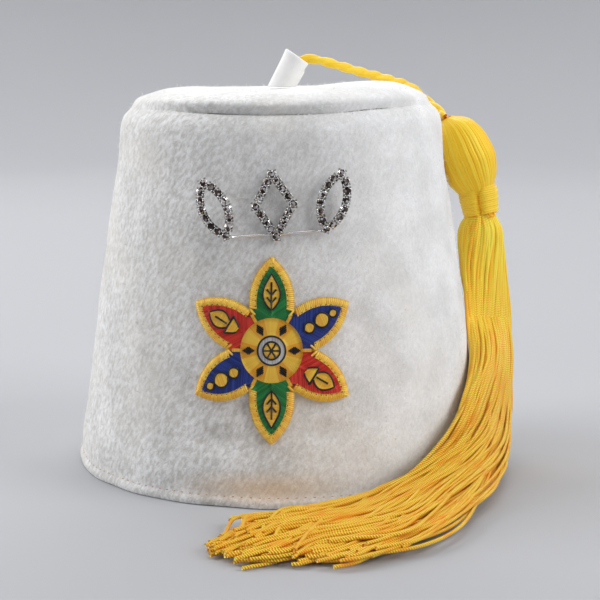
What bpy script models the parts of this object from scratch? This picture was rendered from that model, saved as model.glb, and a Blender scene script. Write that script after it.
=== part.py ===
"""A white felt fez with a tassel, an embroidered patch and a rhinestone pin.

Metres, +Z up. The hat stands on its hem with the origin at the middle of its foot, its front
faces -Y, and its tassel hangs at +X and lies along the surface in front.
"""

from math import acos, atan2, cos, hypot, pi, radians, sin, tan

import bmesh
import bpy
from mathutils import Matrix, Vector

MM = 0.001
GAP = 0.3 * MM                  # running gap between neighbouring pieces

# Felt body -----------------------------------------------------------------------------------
FELT = 2.5 * MM                 # thickness of the felt
SEGMENTS = 50                   # facets round the body
HEM_HEIGHT = 3.6 * MM           # free edge of the wall below its line of stitches
SEAM_HEIGHT = 153.4 * MM        # where the wall meets the round top
OVAL = 0.040                    # how much deeper than wide the foot is
SEAM_TILT = 0.014               # the seam rises towards +X
# Outer skin of the wall, seam to foot: (height, radius)
WALL_ROWS = [
    (153.4, 63.3),
    (151.2, 65.2),
    (148.0, 67.1),
    (143.5, 68.2),
    (124.0, 71.0),
    (104.0, 74.2),
    (84.0, 77.1),
    (64.0, 79.8),
    (46.0, 82.2),
    (30.0, 84.3),
    (14.0, 86.9),
    (4.4, 86.9),
    (3.6, 88.3),
    (0.0, 88.3),
]
# Outer skin of the round top, middle to seam: (height, radius)
TOP_ROWS = [
    (160.1, 0.0),
    (160.4, 18.0),
    (161.4, 36.0),
    (161.3, 48.0),
    (160.6, 54.5),
    (159.2, 59.5),
    (157.2, 62.4),
    (155.4, 63.4),
    (153.9, 63.1),
]
TOP_TILT = 0.070                # the front half of the top rises further towards +X
TOP_FALL = 0.040                # the back half of the top falls towards the back
CORD_DENT = (52.0, 26.0, 26.0, 0.8)   # hollow pressed by the cord: (x, y, half width, depth)

# How the worn felt has settled ---------------------------------------------------------------
FRONT_FLAT_ANGLE = radians(46)  # half width of the flattened front
# Depth of the flattened front: (height, depth)
FRONT_FLAT_ROWS = [(3.6, 0.0), (12.0, 1.2), (40.0, 4.2), (120.0, 4.6), (153.4, 2.2), (165.0, 1.0)]
SEAM_SAG = 1.8 * MM             # drop of the seam at the middle of the front
# Shallow hollows and swells of the front: (across, height, half width, half height, depth)
DENTS = [
    (-24.0, 25.0, 13.0, 8.0, 1.5),
    (17.0, 29.0, 15.0, 7.0, 1.3),
    (-19.0, 44.0, 15.0, 8.0, -0.9),
    (52.0, 48.0, 10.0, 26.0, -0.9),
    (33.0, 62.0, 9.0, 30.0, 0.7),
    (-42.0, 88.0, 9.0, 34.0, 0.7),
]

# Stem ----------------------------------------------------------------------------------------
STEM_FOOT = (0.2 * MM, 0.0, 160.8 * MM)
STEM_LEAN = radians(28)
STEM_SIDES = 16
STEM_BORE = 3.0 * MM
STEM_ROWS = [(14.7, 5.9), (11.6, 5.6), (0.0, 5.3)]   # (along, outer radius)
STEM_CUT = 0.11                 # slope of the cut mouth
NOTCH_WIDTH = 4.8 * MM          # the rolled edge stands open here, and lets the cord out
NOTCH_FOOT = 9.5 * MM

# Cord, from inside the stem over the rim to the tassel, in millimetres ------------------------
CORD_WIDTH = 4.0 * MM
CORD_SPACING = 4.4 * MM
CORD_ROUTE = [
    (1.4, 0.0, 161.9),
    (3.0, 0.0, 165.0),
    (4.9, 0.0, 168.5),
    (7.0, 0.0, 171.0),
    (9.9, 0.0, 172.4),
    (13.4, 0.1, 172.4),
    (19.0, 1.6, 171.3),
    (27.6, 6.3, 168.8),
    (35.8, 12.0, 166.4),
    (44.2, 18.8, 164.1),
    (50.8, 25.0, 162.1),
    (55.4, 29.2, 160.6),
    (59.2, 31.4, 158.4),
    (62.0, 31.2, 155.9),
    (64.6, 29.6, 153.6),
    (67.0, 26.8, 151.7),
    (69.0, 23.6, 150.0),
    (70.8, 20.8, 148.0),
    (71.9, 18.9, 146.4),
]

# Tassel --------------------------------------------------------------------------------------
TASSEL_TOP = Vector((72.3, 18.3, 145.9)) * MM
TASSEL_TOP_FACES = Vector((0.52, -0.62, -0.59))  # the head's top is turned to meet the cord
NECK_TOP = Vector((86.8, 18.0, 115.2)) * MM
NECK_FOOT = Vector((88.6, 17.6, 104.2)) * MM
TASSEL_TOP_RADIUS = 2.6 * MM
HEAD_SIDES = 14
# Head of the tassel, top to neck: (share of the way down, radius, bulge away from the felt)
HEAD_ROWS = [
    (0.14, 8.0, 2.0),
    (0.31, 11.1, 1.8),
    (0.48, 12.3, 1.6),
    (0.64, 12.5, 1.5),
    (0.80, 11.5, 0.9),
    (0.92, 9.6, 0.6),
]
HEAD_BULGES = Vector((0.92, 0.0, 0.40))   # across the head, away from the felt
NECK_RADIUS = (7.1 * MM, 5.9 * MM)     # under the binding, at its top and its foot
BINDING = 1.2 * MM                     # thickness of the wound thread
BINDING_SIDES = 16
# Sections of the skirt: (edge beside the felt), (outer edge), (half way to the next layer), lock radius
SKIRT_ROWS = [
    ((87.7, 17.7, 107.6), (89.5, 17.7, 107.3), (0.0, 1.1, 0.0), 3.4),
    ((86.3, 17.6, 103.2), (90.9, 17.6, 103.0), (0.0, 2.4, 0.0), 3.3),
    ((83.1, 17.0, 96.0), (94.4, 17.0, 96.0), (0.0, 5.0, 0.0), 4.0),
    ((83.9, 13.0, 80.0), (95.4, 15.0, 80.0), (0.0, 5.4, 0.0), 4.2),
    ((86.7, 2.0, 62.0), (96.6, 11.0, 60.0), (0.3, 5.2, 0.5), 4.2),
    ((86.7, -20.0, 47.5), (97.2, 4.0, 38.0), (1.6, 4.0, 1.0), 4.1),
    ((80.5, -43.9, 33.5), (97.2, -8.4, 19.0), (2.0, 2.2, 2.0), 3.9),
    ((69.8, -65.6, 21.5), (95.2, -29.4, 8.2), (2.0, 0.0, 2.4), 3.7),
    ((54.5, -81.6, 12.0), (89.6, -58.0, 6.1), (0.6, 0.0, 2.3), 3.5),
    ((38.0, -93.0, 7.4), (78.8, -92.0, 5.5), (0.0, 0.0, 1.9), 3.2),
    ((19.5, -105.0, 4.8), (64.5, -124.0, 4.7), (0.0, 0.0, 1.4), 2.9),
    ((2.5, -111.0, 4.4), (50.0, -145.8, 4.3), (0.0, 0.0, 1.2), 2.7),
    ((-12.5, -116.5, 3.9), (31.5, -159.0, 3.8), (0.0, 0.0, 0.9), 2.5),
    ((-21.5, -127.0, 3.3), (13.5, -167.5, 3.2), (0.0, 0.0, 0.6), 2.2),
    ((-27.5, -138.0, 2.7), (-8.0, -171.0, 2.6), (0.0, 0.0, 0.3), 1.9),
]
# Locks of the skirt: (place across, from -1 beside the felt to 1; layer, from -1 to 1; last section)
SKIRT_LOCKS = [
    (-1.00, -0.2, 12.2),
    (-0.72, -1.0, 13.2),
    (-0.44, -1.0, 13.7),
    (-0.16, -1.0, 14.0),
    (0.12, -1.0, 13.6),
    (0.40, -1.0, 13.3),
    (0.68, -1.0, 12.6),
    (1.00, -0.6, 12.0),
    (-0.78, 1.0, 12.6),
    (-0.40, 1.0, 13.4),
    (0.00, 1.0, 13.0),
    (0.38, 1.0, 12.3),
    (-0.40, 0.0, 11.0),
    (0.20, 0.0, 11.0),
]

# Patch ---------------------------------------------------------------------------------------
PATCH_ACROSS = -3.0 * MM
PATCH_HEIGHT = 61.0 * MM
PATCH_THICK = 1.5 * MM
PATCH_GAP = 0.8 * MM            # its back clears the flat facets of the wall
PETALS = 6
PETAL_TIP = 36.0 * MM           # middle of the patch to a petal's tip
PETAL_NOTCH = 17.5 * MM         # middle of the patch to the notch between petals
PETAL_BULGE = 3.2 * MM
PETAL_STEPS = 4                 # points along each side of a petal
PATCH_RINGS = (0.34, 0.68, 1.0)

# Rhinestone pin ------------------------------------------------------------------------------
PIN_ACROSS = -2.0 * MM
PIN_HEIGHT = 117.0 * MM
PIN_TURN = radians(-4)          # its +X end stands higher
PIN_SLOPE = radians(-8.1)       # leans back with the wall
PIN_STAND_OFF = 1.4 * MM        # felt to the middle of the setting wire
STONE_PITCH = 3.6 * MM
STONE_SIDES = 8
# Cup and stone, back to front: (towards the front, radius)
STONE_ROWS = [(0.1, 1.05), (1.25, 1.58), (2.05, 0.88)]
WIRE_HALF = 0.55 * MM           # half width of the square setting wire
BAR_RADIUS = 0.42 * MM
BAR_LENGTH = 39.0 * MM
BAR_HEIGHT = -11.3 * MM         # below the middle of the pin
BAR_BEHIND = 0.2 * MM           # bar behind the middle of the setting wire
LEAF_STONES = 7                 # stones along each side of a leaf
LEAF_HALF_ARC = 0.80            # half the angle of each side's arc
LEAF_TURN = radians(20)
LEAF_ACROSS = 23.4 * MM
LOZENGE_STONES = 4              # stones along each side of the lozenge
LOZENGE_HALF_WIDTH = 7.4 * MM


def clear_scene():
    for old in list(bpy.data.objects):
        bpy.data.objects.remove(old, do_unlink=True)


def new_collection(name):
    collection = bpy.data.collections.new(name)
    bpy.context.scene.collection.children.link(collection)
    return collection


def plain_material(name, colour, roughness, metallic=0.0):
    material = bpy.data.materials.new(name)
    material.use_nodes = True
    shader = material.node_tree.nodes["Principled BSDF"]
    shader.inputs["Base Color"].default_value = (*colour, 1.0)
    shader.inputs["Roughness"].default_value = roughness
    shader.inputs["Metallic"].default_value = metallic
    material.diffuse_color = (*colour, 1.0)
    return material


def new_object(name, mesh, collection, material=None):
    made = bpy.data.objects.new(name, mesh)
    collection.objects.link(made)
    if material:
        mesh.materials.clear()
        mesh.materials.append(material)
    return made


def evaluated_mesh(source):
    """The object's finished mesh in world space; the object itself is removed."""
    bpy.context.view_layer.update()
    graph = bpy.context.evaluated_depsgraph_get()
    mesh = bpy.data.meshes.new_from_object(source.evaluated_get(graph))
    mesh.transform(source.matrix_world)
    bpy.data.objects.remove(source, do_unlink=True)
    return mesh


def between(rows, value):
    """The second column of a table at a value of its first column, which rises."""
    if value <= rows[0][0]:
        return rows[0][1]
    for (low, first), (high, second) in zip(rows, rows[1:]):
        if value <= high:
            return first + (second - first) * (value - low) / (high - low)
    return rows[-1][1]


def turned_mesh(rows, sides, closed=False):
    """Turn (height, radius) rows round Z with a Screw; the rows run down the outer side."""
    mesh = bpy.data.meshes.new("profile")
    points = [(radius * MM, 0.0, height * MM) for height, radius in rows]
    edges = [(i, i + 1) for i in range(len(points) - 1)]
    if closed:
        edges.append((len(points) - 1, 0))
    mesh.from_pydata(points, edges, [])
    profile = new_object("profile", mesh, WORK)
    screw = profile.modifiers.new("turn", "SCREW")
    screw.steps = screw.render_steps = sides
    screw.use_merge_vertices = True
    screw.merge_threshold = 0.00001
    return evaluated_mesh(profile)


def soft_window(angle, half_width):
    """1 in the middle, 0 from half_width outwards, smooth between."""
    if abs(angle) >= half_width:
        return 0.0
    return 0.5 + 0.5 * cos(pi * angle / half_width)


def top_change(x, y, height, inside):
    """How far a point of the round top has risen; inside is 1 in its middle and 0 at the seam."""
    front = min(1.0, max(0.0, (10 * MM - y) / (25 * MM)))
    above_seam = (height - SEAM_HEIGHT / MM) / 7.6
    across, back, half_width, depth = CORD_DENT
    pressed = depth * MM * soft_window(hypot(x / MM - across, y / MM - back) / half_width, 1.0)
    return TOP_TILT * x * front * inside - above_seam * (TOP_FALL * max(0.0, y) + pressed)


def settled(point):
    """Where a point of the freshly turned felt lies on the worn hat."""
    x, y, z = point
    radius = hypot(x, y)
    angle = atan2(x, -y) if radius > 1e-9 else 0.0
    height = z / MM
    outer = min(1.0, radius / (62 * MM)) ** 3
    front = soft_window(angle, FRONT_FLAT_ANGLE)
    give = between(FRONT_FLAT_ROWS, height) * MM * front * outer
    for across, middle, half_width, half_height, depth in DENTS:
        if abs(angle) < pi / 2:
            sideways = (x / MM - across) / half_width
            upwards = (height - middle) / half_height
            give += depth * MM * soft_window(hypot(sideways, upwards), 1.0)
    radius -= give
    share = min(1.0, max(0.0, z - HEM_HEIGHT) / (SEAM_HEIGHT - HEM_HEIGHT))
    new_x = radius * sin(angle)
    new_y = -radius * cos(angle) * (1 + OVAL * (1 - share))
    sag = SEAM_SAG * soft_window(angle, radians(62)) * soft_window(height - 153.4, 22.0) * outer
    new_z = z + SEAM_TILT * new_x * share ** 2 - sag
    if z > SEAM_HEIGHT:
        new_z += top_change(new_x, new_y, height, 1 - outer)
    return Vector((new_x, new_y, new_z))


def felt_piece(name, rows, collection, material):
    """A turned skin, settled, with its thickness inside it."""
    mesh = turned_mesh(rows, SEGMENTS)
    for vertex in mesh.vertices:
        vertex.co = settled(vertex.co)
    mesh.shade_smooth()
    piece = new_object(name, mesh, collection, material)
    solid = piece.modifiers.new("thickness", "SOLIDIFY")
    solid.thickness = FELT
    solid.offset = -1
    solid.use_even_offset = True
    return piece


def wall_radius(height):
    rows = [(row_height * MM, radius * MM) for row_height, radius in reversed(WALL_ROWS)]
    return between(rows, height)


def on_wall(across, height, lift):
    """The point above the felt's front, measured along the turned wall."""
    radius = wall_radius(height)
    angle = across / radius
    lifted = radius + lift
    return settled((lifted * sin(angle), -lifted * cos(angle), height))


def build_stem(collection, material):
    """A rolled felt tube, cut level at its foot, slanted at its mouth and notched for the cord."""
    outer = [(along, radius) for along, radius in STEM_ROWS]
    bore = STEM_BORE / MM
    loop = outer + [(0.0, bore), (STEM_ROWS[0][0], bore)]
    mesh = turned_mesh(loop, STEM_SIDES, closed=True)
    for vertex in mesh.vertices:
        if vertex.co.z < 0.01 * MM:
            vertex.co.z = vertex.co.x * tan(STEM_LEAN)
        elif vertex.co.z > (STEM_ROWS[0][0] - 0.01) * MM:
            vertex.co.z -= vertex.co.x * STEM_CUT
    mesh.shade_smooth()
    mesh.set_sharp_from_angle(angle=radians(40))
    stem = new_object("stem", mesh, collection, material)
    stem.location = STEM_FOOT
    stem.rotation_euler = (0, STEM_LEAN, 0)
    reach = 8 * MM
    bpy.ops.mesh.primitive_cube_add(size=1)
    notch = bpy.context.object
    notch.name = "stem_notch"
    notch.parent = stem
    notch.scale = (reach, NOTCH_WIDTH, 2 * reach)
    notch.location = (1.2 * MM + reach / 2, 0, NOTCH_FOOT + reach)
    hide_cutter(notch)
    cut = stem.modifiers.new("notch", "BOOLEAN")
    cut.operation = "DIFFERENCE"
    cut.object = notch
    return stem


def hide_cutter(cutter):
    for holder in list(cutter.users_collection):
        holder.objects.unlink(cutter)
    CUTTERS.objects.link(cutter)
    cutter.hide_render = True
    cutter.display_type = "WIRE"


def smooth_route(points, spacing):
    """Evenly spaced points on the smooth curve through the points of a route."""
    knots = [Vector(point) * MM for point in points]
    knots = [2 * knots[0] - knots[1]] + knots + [2 * knots[-1] - knots[-2]]
    fine = []
    for before, start, end, after in zip(knots, knots[1:], knots[2:], knots[3:]):
        for step in range(12):
            t = step / 12
            fine.append(0.5 * (2 * start + (end - before) * t
                               + (2 * before - 5 * start + 4 * end - after) * t ** 2
                               + (3 * start - 3 * end + after - before) * t ** 3))
    fine.append(knots[-2])
    lengths = [0.0]
    for first, second in zip(fine, fine[1:]):
        lengths.append(lengths[-1] + (second - first).length)
    count = max(2, round(lengths[-1] / spacing))
    route, at = [], 0
    for i in range(count + 1):
        target = lengths[-1] * i / count
        while at < len(fine) - 2 and lengths[at + 1] < target:
            at += 1
        share = (target - lengths[at]) / (lengths[at + 1] - lengths[at])
        route.append(fine[at].lerp(fine[at + 1], min(1.0, share)))
    return route


def tube_curve(name, route, width, collection, resolution=2, cyclic=False, radii=None):
    """A round tube of that width along the route's points."""
    curve = bpy.data.curves.new(name, "CURVE")
    curve.dimensions = "3D"
    curve.bevel_depth = width / 2
    curve.bevel_resolution = resolution
    curve.use_fill_caps = True
    spline = curve.splines.new("POLY")
    spline.points.add(len(route) - 1)
    spline.use_cyclic_u = cyclic
    for i, (point, place) in enumerate(zip(spline.points, route)):
        point.co = (*place, 1.0)
        point.radius = radii[i] if radii else 1.0
    return new_object(name, curve, collection)


def tube_mesh(name, route, width, **settings):
    """The same tube as a closed mesh."""
    mesh = evaluated_mesh(tube_curve(name, route, width, WORK, **settings))
    weld = bmesh.new()
    weld.from_mesh(mesh)
    bmesh.ops.remove_doubles(weld, verts=weld.verts, dist=0.00001)
    bmesh.ops.recalc_face_normals(weld, faces=weld.faces)
    weld.to_mesh(mesh)
    weld.free()
    return mesh


def build_cord(collection, material):
    cord = tube_curve("hanging_cord", smooth_route(CORD_ROUTE, CORD_SPACING), CORD_WIDTH, collection)
    cord.data.materials.append(material)
    return cord


def union_all(base, others):
    """Fuse the other meshes into the base object, one after another."""
    for i, mesh in enumerate(others):
        other = new_object(f"{base.name}_part_{i}", mesh, CUTTERS)
        hide_cutter(other)
        fuse = base.modifiers.new(f"fuse_{i}", "BOOLEAN")
        fuse.operation = "UNION"
        fuse.object = other


def lofted_mesh(rings, sides):
    """A closed solid through round sections, each (middle, direction, radius)."""
    solid = bmesh.new()
    loops = []
    for middle, direction, radius in rings:
        frame = direction.to_track_quat("Z", "Y").to_matrix()
        loop = []
        for i in range(sides):
            turn = 2 * pi * i / sides
            offset = Vector((radius * cos(turn), radius * sin(turn), 0))
            loop.append(solid.verts.new(middle + frame @ offset))
        loops.append(loop)
    for first, second in zip(loops, loops[1:]):
        for i in range(sides):
            j = (i + 1) % sides
            solid.faces.new((first[i], first[j], second[j], second[i]))
    solid.faces.new(list(reversed(loops[0])))
    solid.faces.new(loops[-1])
    bmesh.ops.recalc_face_normals(solid, faces=solid.faces)
    mesh = bpy.data.meshes.new("lofted")
    solid.to_mesh(mesh)
    solid.free()
    return mesh


def skirt_point(across, layer, section):
    """Middle of a lock at a section of the skirt, which may lie between two rows."""
    row = min(int(section), len(SKIRT_ROWS) - 2)
    share = section - row
    places, widths = [], []
    for inner, outer, half_layer, radius in SKIRT_ROWS[row:row + 2]:
        edge = Vector(inner).lerp(Vector(outer), (across + 1) / 2)
        places.append(edge + layer * Vector(half_layer))
        widths.append(radius)
    return places[0].lerp(places[1], share), widths[0] + (widths[1] - widths[0]) * share


def lock_mesh(across, layer, last):
    """One lock of the skirt, from inside the neck to its tip."""
    sections = list(range(int(last) + 1))
    if last - sections[-1] > 0.3:
        sections.append(last)
    route, radii = [], []
    for section in sections:
        place, radius = skirt_point(across, layer, section)
        route.append(place * MM)
        radii.append(radius)
    radii[-1] *= 0.75
    return tube_mesh("lock", route, 2 * MM, resolution=1, radii=radii)


def build_tassel(collection, material):
    """Head and neck in one, with the skirt's locks fused to the neck."""
    down_head = NECK_TOP - TASSEL_TOP
    down_neck = NECK_FOOT - NECK_TOP
    rings = [(TASSEL_TOP, TASSEL_TOP_FACES, TASSEL_TOP_RADIUS)]
    for share, radius, bulge in HEAD_ROWS:
        middle = TASSEL_TOP + down_head * share + HEAD_BULGES * bulge * MM
        rings.append((middle, down_head, radius * MM))
    rings.append((NECK_TOP, down_head + down_neck, NECK_RADIUS[0]))
    rings.append((NECK_FOOT, down_neck, NECK_RADIUS[1]))
    tassel = new_object("tassel", lofted_mesh(rings, HEAD_SIDES), collection, material)
    union_all(tassel, [lock_mesh(*lock) for lock in SKIRT_LOCKS])
    return tassel


def build_neck_binding(collection, material):
    """Thread wound round the neck: a tapered ring that stands clear of the neck."""
    axis = NECK_FOOT - NECK_TOP
    length = axis.length / MM
    start = 1.2
    inner_top, inner_foot = NECK_RADIUS[0] / MM + 0.40, NECK_RADIUS[1] / MM + 0.50
    wall = BINDING / MM
    loop = [
        (-start, inner_top + wall),
        (-0.45 * length, (inner_top + inner_foot) / 2 + wall + 0.2),
        (-length + 0.6, inner_foot + wall),
        (-length + 0.6, inner_foot),
        (-start, inner_top),
    ]
    mesh = turned_mesh(loop, BINDING_SIDES, closed=True)
    binding = new_object("neck_binding", mesh, collection, material)
    binding.location = NECK_TOP
    binding.rotation_mode = "QUATERNION"
    binding.rotation_quaternion = (-axis).to_track_quat("Z", "Y")
    return binding


def petal_outline():
    """The patch's outline: pointed petals with rounded sides, the first one upright."""
    outline = []
    for petal in range(2 * PETALS):
        from_tip = petal % 2 == 0
        start_turn = pi / 2 + petal * pi / PETALS
        end_turn = start_turn + pi / PETALS
        start_radius = PETAL_TIP if from_tip else PETAL_NOTCH
        end_radius = PETAL_NOTCH if from_tip else PETAL_TIP
        start = Vector((start_radius * cos(start_turn), start_radius * sin(start_turn)))
        end = Vector((end_radius * cos(end_turn), end_radius * sin(end_turn)))
        side = end - start
        outward = Vector((side.y, -side.x)).normalized()
        for step in range(PETAL_STEPS):
            share = step / PETAL_STEPS
            bulge = PETAL_BULGE * 4 * share * (1 - share)
            outline.append(start + side * share + outward * bulge)
    return outline


def build_patch(collection, material):
    """A stiff embroidered patch that follows the felt."""
    outline = petal_outline()
    lift = PATCH_GAP + PATCH_THICK
    sheet = bmesh.new()

    def vertex(flat):
        return sheet.verts.new(on_wall(PATCH_ACROSS + flat.x, PATCH_HEIGHT + flat.y, lift))

    middle = vertex(Vector((0, 0)))
    rings = [[vertex(point * share) for point in outline] for share in PATCH_RINGS]
    count = len(outline)
    for i in range(count):
        j = (i + 1) % count
        sheet.faces.new((middle, rings[0][i], rings[0][j]))
        for inner, outer in zip(rings, rings[1:]):
            sheet.faces.new((inner[i], outer[i], outer[j], inner[j]))
    mesh = bpy.data.meshes.new("patch")
    sheet.to_mesh(mesh)
    sheet.free()
    patch = new_object("patch", mesh, collection, material)
    solid = patch.modifiers.new("thickness", "SOLIDIFY")
    solid.thickness = PATCH_THICK
    solid.offset = -1
    return patch


def leaf_places(side):
    """Stones round a pointed leaf; side is -1 on the left and 1 on the right."""
    arc = LEAF_STONES * STONE_PITCH
    radius = arc / (2 * LEAF_HALF_ARC)
    places = []
    for edge in (1, -1):
        for stone in range(LEAF_STONES):
            turn = LEAF_HALF_ARC * (1 - 2 * stone / LEAF_STONES)
            bow = radius * (cos(turn) - cos(LEAF_HALF_ARC))
            places.append(Vector((edge * bow, edge * radius * sin(turn))))
    tilt = Matrix.Rotation(-side * LEAF_TURN, 2)
    return [tilt @ place + Vector((side * LEAF_ACROSS, 0)) for place in places]


def lozenge_places():
    """Stones round the upright lozenge in the middle."""
    side = LOZENGE_STONES * STONE_PITCH
    half_height = side * sin(acos(LOZENGE_HALF_WIDTH / side))
    corners = [
        Vector((0, half_height)),
        Vector((LOZENGE_HALF_WIDTH, 0)),
        Vector((0, -half_height)),
        Vector((-LOZENGE_HALF_WIDTH, 0)),
    ]
    places = []
    for start, end in zip(corners, corners[1:] + corners[:1]):
        places += [start.lerp(end, stone / LOZENGE_STONES) for stone in range(LOZENGE_STONES)]
    return places


def stones_mesh(places):
    """Every cup with its cut stone, facing -Y; none touches another."""
    stones = bmesh.new()
    for place in places:
        rings = []
        for forward, radius in STONE_ROWS:
            ring = []
            for i in range(STONE_SIDES):
                turn = 2 * pi * (i + 0.5) / STONE_SIDES
                ring.append(stones.verts.new((place.x + radius * MM * cos(turn), -forward * MM,
                                              place.y + radius * MM * sin(turn))))
            rings.append(ring)
        for first, second in zip(rings, rings[1:]):
            for i in range(STONE_SIDES):
                j = (i + 1) % STONE_SIDES
                stones.faces.new((first[i], first[j], second[j], second[i]))
        stones.faces.new(list(reversed(rings[0])))
        stones.faces.new(rings[-1])
    bmesh.ops.recalc_face_normals(stones, faces=stones.faces)
    mesh = bpy.data.meshes.new("stones")
    stones.to_mesh(mesh)
    stones.free()
    return mesh


def build_pin(collection, material):
    """Stones in cups on three loops of setting wire, fused to a bar with a plain pin back."""
    motifs = [leaf_places(-1), lozenge_places(), leaf_places(1)]
    ends = [Vector((end * BAR_LENGTH / 2, BAR_BEHIND, BAR_HEIGHT)) for end in (-1, 1)]
    pin = new_object("rhinestone_pin", tube_mesh("bar", ends, 2 * BAR_RADIUS), collection, material)
    loops = [
        tube_mesh("loop", [Vector((p.x, 0, p.y)) for p in motif], 2 * WIRE_HALF,
                  resolution=0, cyclic=True)
        for motif in motifs
    ]
    stones = stones_mesh([place for motif in motifs for place in motif])
    union_all(pin, loops + [stones])
    felt = on_wall(PIN_ACROSS, PIN_HEIGHT, PIN_STAND_OFF)
    turn = Matrix.Rotation(PIN_SLOPE, 4, "X") @ Matrix.Rotation(PIN_TURN, 4, "Y")
    place = Matrix.Translation(felt) @ turn
    pin.matrix_world = place
    for modifier in pin.modifiers:
        modifier.object.matrix_world = place
    return pin


clear_scene()
FEZ = new_collection("fez_hat")
CUTTERS = new_collection("cutters")
WORK = CUTTERS

white_felt = plain_material("white_felt", (0.80, 0.79, 0.77), 0.95)
gold_rayon = plain_material("gold_rayon", (0.90, 0.46, 0.03), 0.45)
embroidery = plain_material("embroidery", (0.82, 0.44, 0.05), 0.60)
silver = plain_material("silver_setting", (0.62, 0.61, 0.60), 0.25, 1.0)

felt_piece("crown_wall", WALL_ROWS, FEZ, white_felt)
felt_piece("crown_top", TOP_ROWS, FEZ, white_felt)
build_stem(FEZ, white_felt)
build_cord(FEZ, gold_rayon)
build_tassel(FEZ, gold_rayon)
build_neck_binding(FEZ, gold_rayon)
build_patch(FEZ, embroidery)
build_pin(FEZ, silver)
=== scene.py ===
"""The looks of a white felt fez with a cord, a tassel, an embroidered patch and a rhinestone pin.

Metres, +Z up; sizes in millimetres carry MM. The hat stands on its hem, its front faces -Y and
its tassel hangs at +X and lies along the surface in front.
"""

from math import acos, cos, pi, radians, sin

import bpy
import numpy as np
from mathutils import Matrix, Vector


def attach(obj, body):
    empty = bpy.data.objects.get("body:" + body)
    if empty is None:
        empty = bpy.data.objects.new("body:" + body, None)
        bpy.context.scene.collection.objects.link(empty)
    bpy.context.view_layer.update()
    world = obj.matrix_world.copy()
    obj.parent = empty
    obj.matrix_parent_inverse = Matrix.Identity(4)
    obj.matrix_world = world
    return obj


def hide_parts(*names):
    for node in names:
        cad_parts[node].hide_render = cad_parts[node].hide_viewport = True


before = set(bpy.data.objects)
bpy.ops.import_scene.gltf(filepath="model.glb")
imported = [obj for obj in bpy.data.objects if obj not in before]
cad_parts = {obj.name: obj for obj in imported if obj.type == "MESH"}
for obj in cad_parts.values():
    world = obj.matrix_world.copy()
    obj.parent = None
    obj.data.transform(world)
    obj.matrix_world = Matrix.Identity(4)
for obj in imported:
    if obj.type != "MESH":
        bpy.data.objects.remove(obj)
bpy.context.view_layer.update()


# --- Camera -----------------------------------------------------------------------------------
# The hat is seen from the front, from a little above its stem and looking slightly down,
# through a long lens.
MM = 0.001
CAMERA_PLACE = Vector((8.2, -734.0, 187.0)) * MM
CAMERA_LOOKS_DOWN = radians(9.2)
CAMERA_LENS = 102.0             # millimetres, on a 36 mm wide sensor

camera_data = bpy.data.cameras.new("camera")
camera_data.lens = CAMERA_LENS
camera_data.sensor_width = 36.0
camera_data.clip_start = 0.01
camera = bpy.data.objects.new("camera", camera_data)
camera.location = CAMERA_PLACE
camera.rotation_euler = (radians(90) - CAMERA_LOOKS_DOWN, 0, 0)
bpy.context.scene.collection.objects.link(camera)
bpy.context.scene.camera = camera
bpy.context.scene.view_settings.view_transform = "Standard"


# --- Studio -----------------------------------------------------------------------------------
# A round sweep of matt pale paper, curved up all the way round, so that every side of the hat
# has the same plain ground. Soft boxes stand on both sides of the hat, over it and behind it.
SWEEP_FLAT = 1.5                # metres, radius of the flat part
SWEEP_BEND = 0.8                # radius of the bend up
SWEEP_HEIGHT = 3.0
SWEEP_SIDES = 96
PAPER_TONES = ("#AEAFB3", "#B2B3B6")
PAPER_CLOUD = 0.35              # metres, size of the faint clouds in its tone
SOFT_BOXES = [                  # (place, looks at, width, height, watts), metres
    ((-1.55, 0.24, 0.90), (0.0, 0.0, 0.09), 1.2, 1.1, 22.0),
    ((1.52, -0.56, 0.95), (0.0, 0.0, 0.09), 1.2, 1.1, 19.0),
    ((0.0, 0.05, 1.60), (0.0, 0.0, 0.0), 1.6, 1.6, 9.0),
    ((0.0, 1.6, 1.30), (0.0, 0.0, 0.1), 2.4, 1.0, 22.0),
]
WORLD_GREY = "#C4C5C9"
WORLD_STRENGTH = 0.44


def linear(hex_colour):
    """An sRGB hex colour as linear values with an alpha of 1."""
    values = [int(hex_colour[i:i + 2], 16) / 255 for i in (1, 3, 5)]
    return (*[((v + 0.055) / 1.055) ** 2.4 if v > 0.04045 else v / 12.92 for v in values], 1.0)


def add_node(tree, kind, inputs=None, **settings):
    """Add a node; each input takes a value, or is linked to another node's output."""
    node = tree.nodes.new(kind)
    for name, value in settings.items():
        setattr(node, name, value)
    for name, value in (inputs or {}).items():
        if isinstance(value, bpy.types.NodeSocket):
            tree.links.new(value, node.inputs[name])
        else:
            node.inputs[name].default_value = value
    return node


def new_material(name, **values):
    """A material with its shader's constant values set, and its node tree."""
    material = bpy.data.materials.new(name)
    material.use_nodes = True
    shader = material.node_tree.nodes["Principled BSDF"]
    for socket, value in values.items():
        shader.inputs[socket.replace("_", " ")].default_value = value
    return material, material.node_tree, shader


def object_from(name, points, quads, material, smooth=True):
    """A mesh object in millimetre points and four-sided faces."""
    mesh = bpy.data.meshes.new(name)
    mesh.from_pydata((np.asarray(points) * MM).tolist(), [], np.asarray(quads).tolist())
    mesh.polygons.foreach_set("use_smooth", [smooth] * len(mesh.polygons))
    mesh.materials.append(material)
    made = bpy.data.objects.new(name, mesh)
    bpy.context.scene.collection.objects.link(made)
    return made


def grid_quads(rows, columns, closed):
    """Faces of a grid of points, row after row; closed joins the last column to the first."""
    row, column = np.meshgrid(np.arange(rows - 1), np.arange(columns if closed else columns - 1),
                              indexing="ij")
    right = (column + 1) % columns
    corners = [row * columns + column, row * columns + right,
               (row + 1) * columns + right, (row + 1) * columns + column]
    return np.stack([corner.ravel() for corner in corners], axis=1)


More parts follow.
